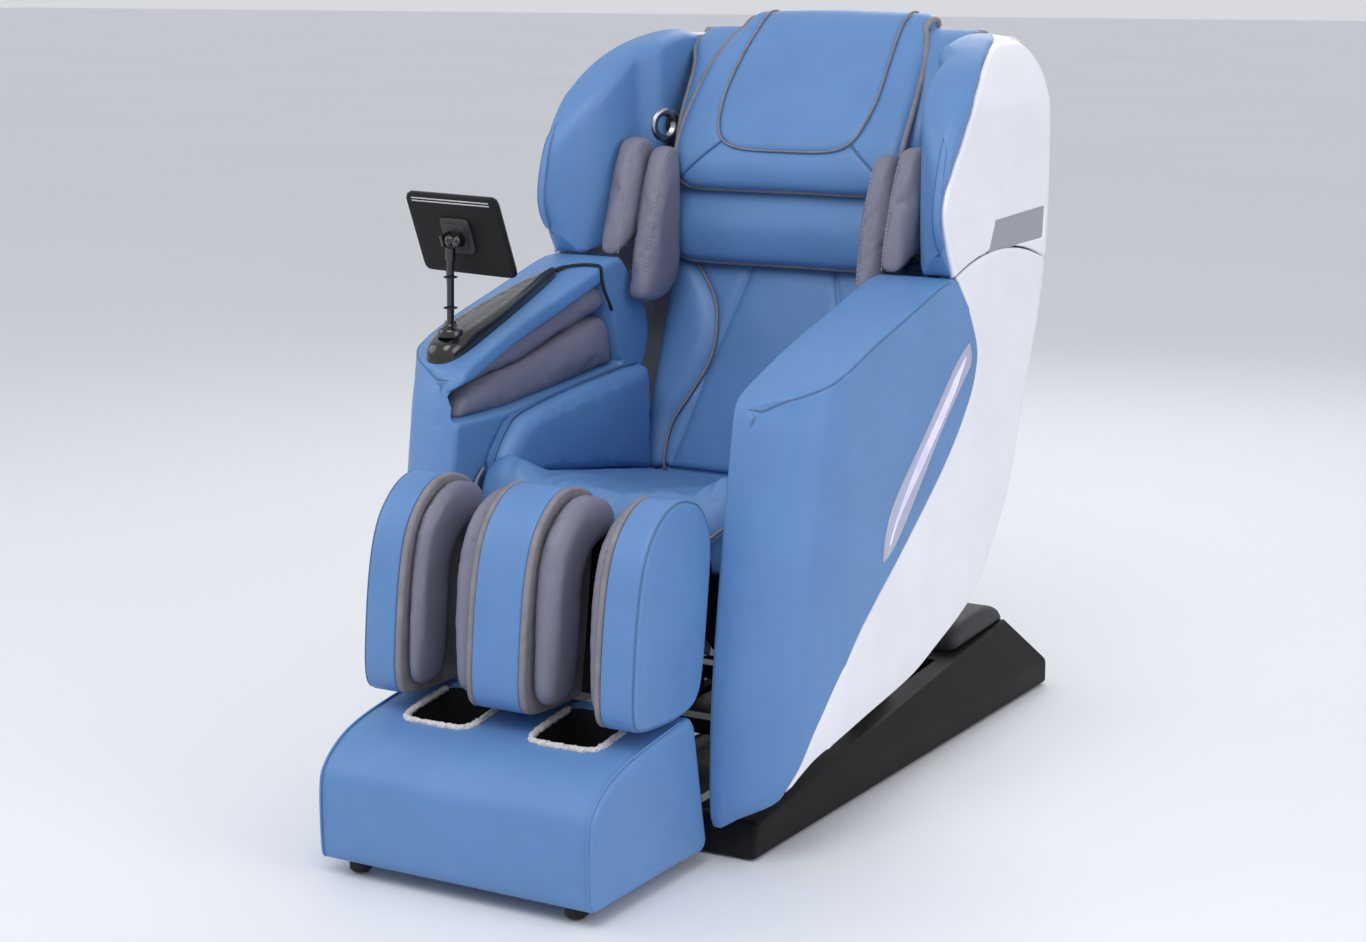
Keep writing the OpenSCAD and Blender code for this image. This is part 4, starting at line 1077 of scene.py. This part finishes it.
def plate(w, h, r, y0, y1, edge, rows=2, step=10):
    """Upright plate with corners rounded by r and its edges by edge."""
    a = np.linspace(0, math.pi / 2, 6)
    corner = np.stack([np.cos(a), np.sin(a)], 1) * r
    pts = []
    for k, (sx, sz) in enumerate(((1, 1), (-1, 1), (-1, -1), (1, -1))):
        c = corner if sx * sz > 0 else corner[::-1]
        pts.append(c * (sx, sz) + (sx * (w / 2 - r), sz * (h / 2 - r)))
    reg = Region(np.vstack(pts), step, edge, 3)
    front, rear = (np.c_[reg.p[:, 0], y, reg.p[:, 1]] for y in (y0 + reg.drop(edge), y1 - reg.drop(edge)))
    return reg.solid(front, rear, rows)


piece("tablet_shell", tablet(plate(196, 127, 10, 18, 28, 3.2)), "black", "tablet", ["tablet_case"], sharp=60)
piece("tablet_rim", tablet(plate(197, 128, 10.5, 24.2, 26.4, 0.8)), "gloss", "tablet")
mount = joined(plate(62, 56, 6, 13.5, 19, 2.2, step=7), plate(44, 40, 5, 11.2, 15, 1.6, step=7))
piece("tablet_plate", tablet(mount), "hood", "tablet", sharp=60)
ribs = joined(*[box_part(-84, 84, 17.1, 19.2, z, z + 2.2, 0.8) for z in (50.5, 55.0)])
piece("tablet_ribs", tablet(ribs), "bright", "tablet")
ears = joined(*[box_part(x, x + 5.2, -8, 14, -9, 9, 2.5) for x in (9.8, -15)])
knob = turned(lathe([(0, 0), (8, 0), (9.5, 1.5), (9.5, 7), (8, 8.5), (0, 9)][::-1], 24), (0, 1, 0), 90, (15, 0, 0))
piece("tablet_hinge", tablet(joined(ears, knob)), "gloss", "tablet", sharp=50)
piece("tablet_glass", tablet(plate(184, 115, 6, 26.4, 28.4, 0.8)), "glass", "tablet", ["tablet_screen"])
foot_at = np.array([-290, -286, 706.0])
hinge_at = tablet(([(0, 0, 0)], []))[0][0]
way = hinge_at - foot_at


def round_stem(t, r, angle):
    """Point r off the stem's middle line, at t of its height."""
    return foot_at + way * t + np.array([r * math.cos(angle), r * math.sin(angle), 0])


disc = turned(lathe([(0, 0), (20, 0), (20, 8), (17.5, 12.5), (12, 14.5), (9, 20), (8, 24), (0, 24.5)][::-1], 40),
    to=foot_at)
ball = lathe([(9.2 * math.sin(a), 9.2 * math.cos(a)) for a in np.linspace(0, math.pi, 13)], 28)
stem = tube([foot_at + way * k for k in np.linspace(0.03, 0.97, 12)], 5.6, 20)
sleeve = tube([foot_at + way * k for k in np.linspace(0.80, 0.93, 5)], 7.6, 20)
stem = joined(disc, stem, sleeve, turned(ball, to=hinge_at))
piece("tablet_stem", stem, "gloss", "tablet_arm", ["tablet_pole"], sharp=50)
held = [round_stem(t, 8.0, 2.2 + t) for t in np.linspace(0.08, 0.9, 24)]
piece("tablet_stem_lead", tube(held, 1.7, 8), "rubber", "tablet_arm")
clips = [even([round_stem(t, 9.6, g) for g in np.linspace(-0.4, 6.0, 22)], 2.4) for t in (0.3, 0.62)]
piece("tablet_stem_clips", joined(*[tube(clip, 1.3, 6) for clip in clips]), "rubber", "tablet_arm")
ROUTE = [(-292, 12.1, 776), (-291, 18, 777.5), (-288, 26, 779.5), (-282, 33, 781), (-273, 39, 782.5),
    (-263, 43, 783.5), (-252, 45, 784), (-242, 45, 784), (-234, 45, 783.6), (-229.6, 45, 781.5), (-228, 45, 775),
    (-227.8, 46, 765), (-227.8, 48, 754), (-227.8, 53, 743), (-228, 61, 732), (-228.6, 69, 722), (-230, 76, 714),
    (-232, 82, 708)]
q = even(spline(ROUTE), 3)
radius = 2.5 + 1.6 * np.clip(1 - np.arange(len(q)) / 8, 0, 1)
piece("tablet_lead_cable", tube(q, radius, 12), "rubber", "seat", ["tablet_lead"])

# ---- Rubber feet ----
for name, body, node, pad, x, ys in (("base_feet_rubber", "base", "base_feet",
        [(0, 14), (22, 14), (22, 3), (19, 0), (0, 0)], 160, (-310, 580)),
        ("foot_glide_rubber", "foot", "foot_glides", [(0, 22), (16, 22), (16, 7), (12, 3), (0, 3)], 180,
        (-680, -440))):
    pads = joined(*[turned(lathe(pad, 32), to=(s * x, y, 0)) for s in (1, -1) for y in ys])
    piece(name, pads, "rubber", body, [node], slot="rubber", sharp=50)

# ---- Carried-over frame parts ----
FINISH = dict(base_frame="steel", base_crossbars="steel", slide_rails="bright", power_inlet="black",
    power_switch="red", control_box="cast", transport_wheels="rubber", carriage_frame="steel", tilt_barrel="cast",
    tilt_ram="bright", seat_frame="steel", air_pump="black", recline_barrel="cast", recline_ram="bright",
    back_frame="steel", massage_chassis="steel", knead_arm_left="cast", knead_arm_right="cast",
    roller_left_upper="roller", roller_left_lower="roller", roller_right_upper="roller",
    roller_right_lower="roller", leg_frame="steel", leg_barrel="cast", leg_ram="bright", foot_rollers="roller")
for node, mat in FINISH.items():
    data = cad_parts[node].data
    data.materials.clear()
    data.materials.append(MAT[mat])

# ---- Floor, lights and camera ----
floor = Nodes("pale_floor", lin(226, 228, 232), 0.55)
floor.tone(floor.noise(0.4, 1), lin(225, 227, 231), lin(228, 230, 234))
floor.roughness(floor.noise(8, 2), 0.5, 0.62)
MAT["floor"] = floor.m
bpy.ops.mesh.primitive_plane_add(size=120, location=(0, 0, -0.0005))
ground = bpy.context.object
ground.name = "floor"
ground.data.materials.append(MAT["floor"])


def area(name, place, aim, size, power, tint=(1, 1, 1)):
    data = bpy.data.lights.new(name, "AREA")
    data.shape, data.size, data.energy, data.color = "DISK", size, power, tint
    ob = bpy.data.objects.new(name, data)
    bpy.context.scene.collection.objects.link(ob)
    ob.location = place
    ob.rotation_euler = (Vector(aim) - Vector(place)).to_track_quat("-Z", "Y").to_euler()


area("key", (0.6, -2.6, 3.8), (0, -0.1, 0.5), 2.6, 62)
area("fill", (-3.2, -1.6, 2.2), (0, 0, 0.5), 2.4, 24)
area("side", (3.8, -0.6, 2.0), (0.2, 0.0, 0.5), 2.4, 34)
area("back", (-0.6, 3.4, 2.6), (0, 0.2, 0.7), 2.2, 30)
world = bpy.data.worlds.new("studio")
world.use_nodes = True
world.node_tree.nodes["Background"].inputs[0].default_value = (0.80, 0.815, 0.85, 1)
world.node_tree.nodes["Background"].inputs[1].default_value = 0.86
bpy.context.scene.world = world
bpy.context.scene.view_settings.view_transform = "Standard"

AZ, PITCH = math.radians(30.2), math.radians(11.1)
cam = bpy.data.cameras.new("camera")
cam.sensor_width = 36
cam.lens = 67.4407
eye = bpy.data.objects.new("camera", cam)
bpy.context.scene.collection.objects.link(eye)
eye.location = (1.94, -3.42, 1.25)
look = Vector((-math.sin(AZ) * math.cos(PITCH), math.cos(AZ) * math.cos(PITCH), -math.sin(PITCH)))
eye.rotation_euler = look.to_track_quat("-Z", "Y").to_euler()
bpy.context.scene.camera = eye
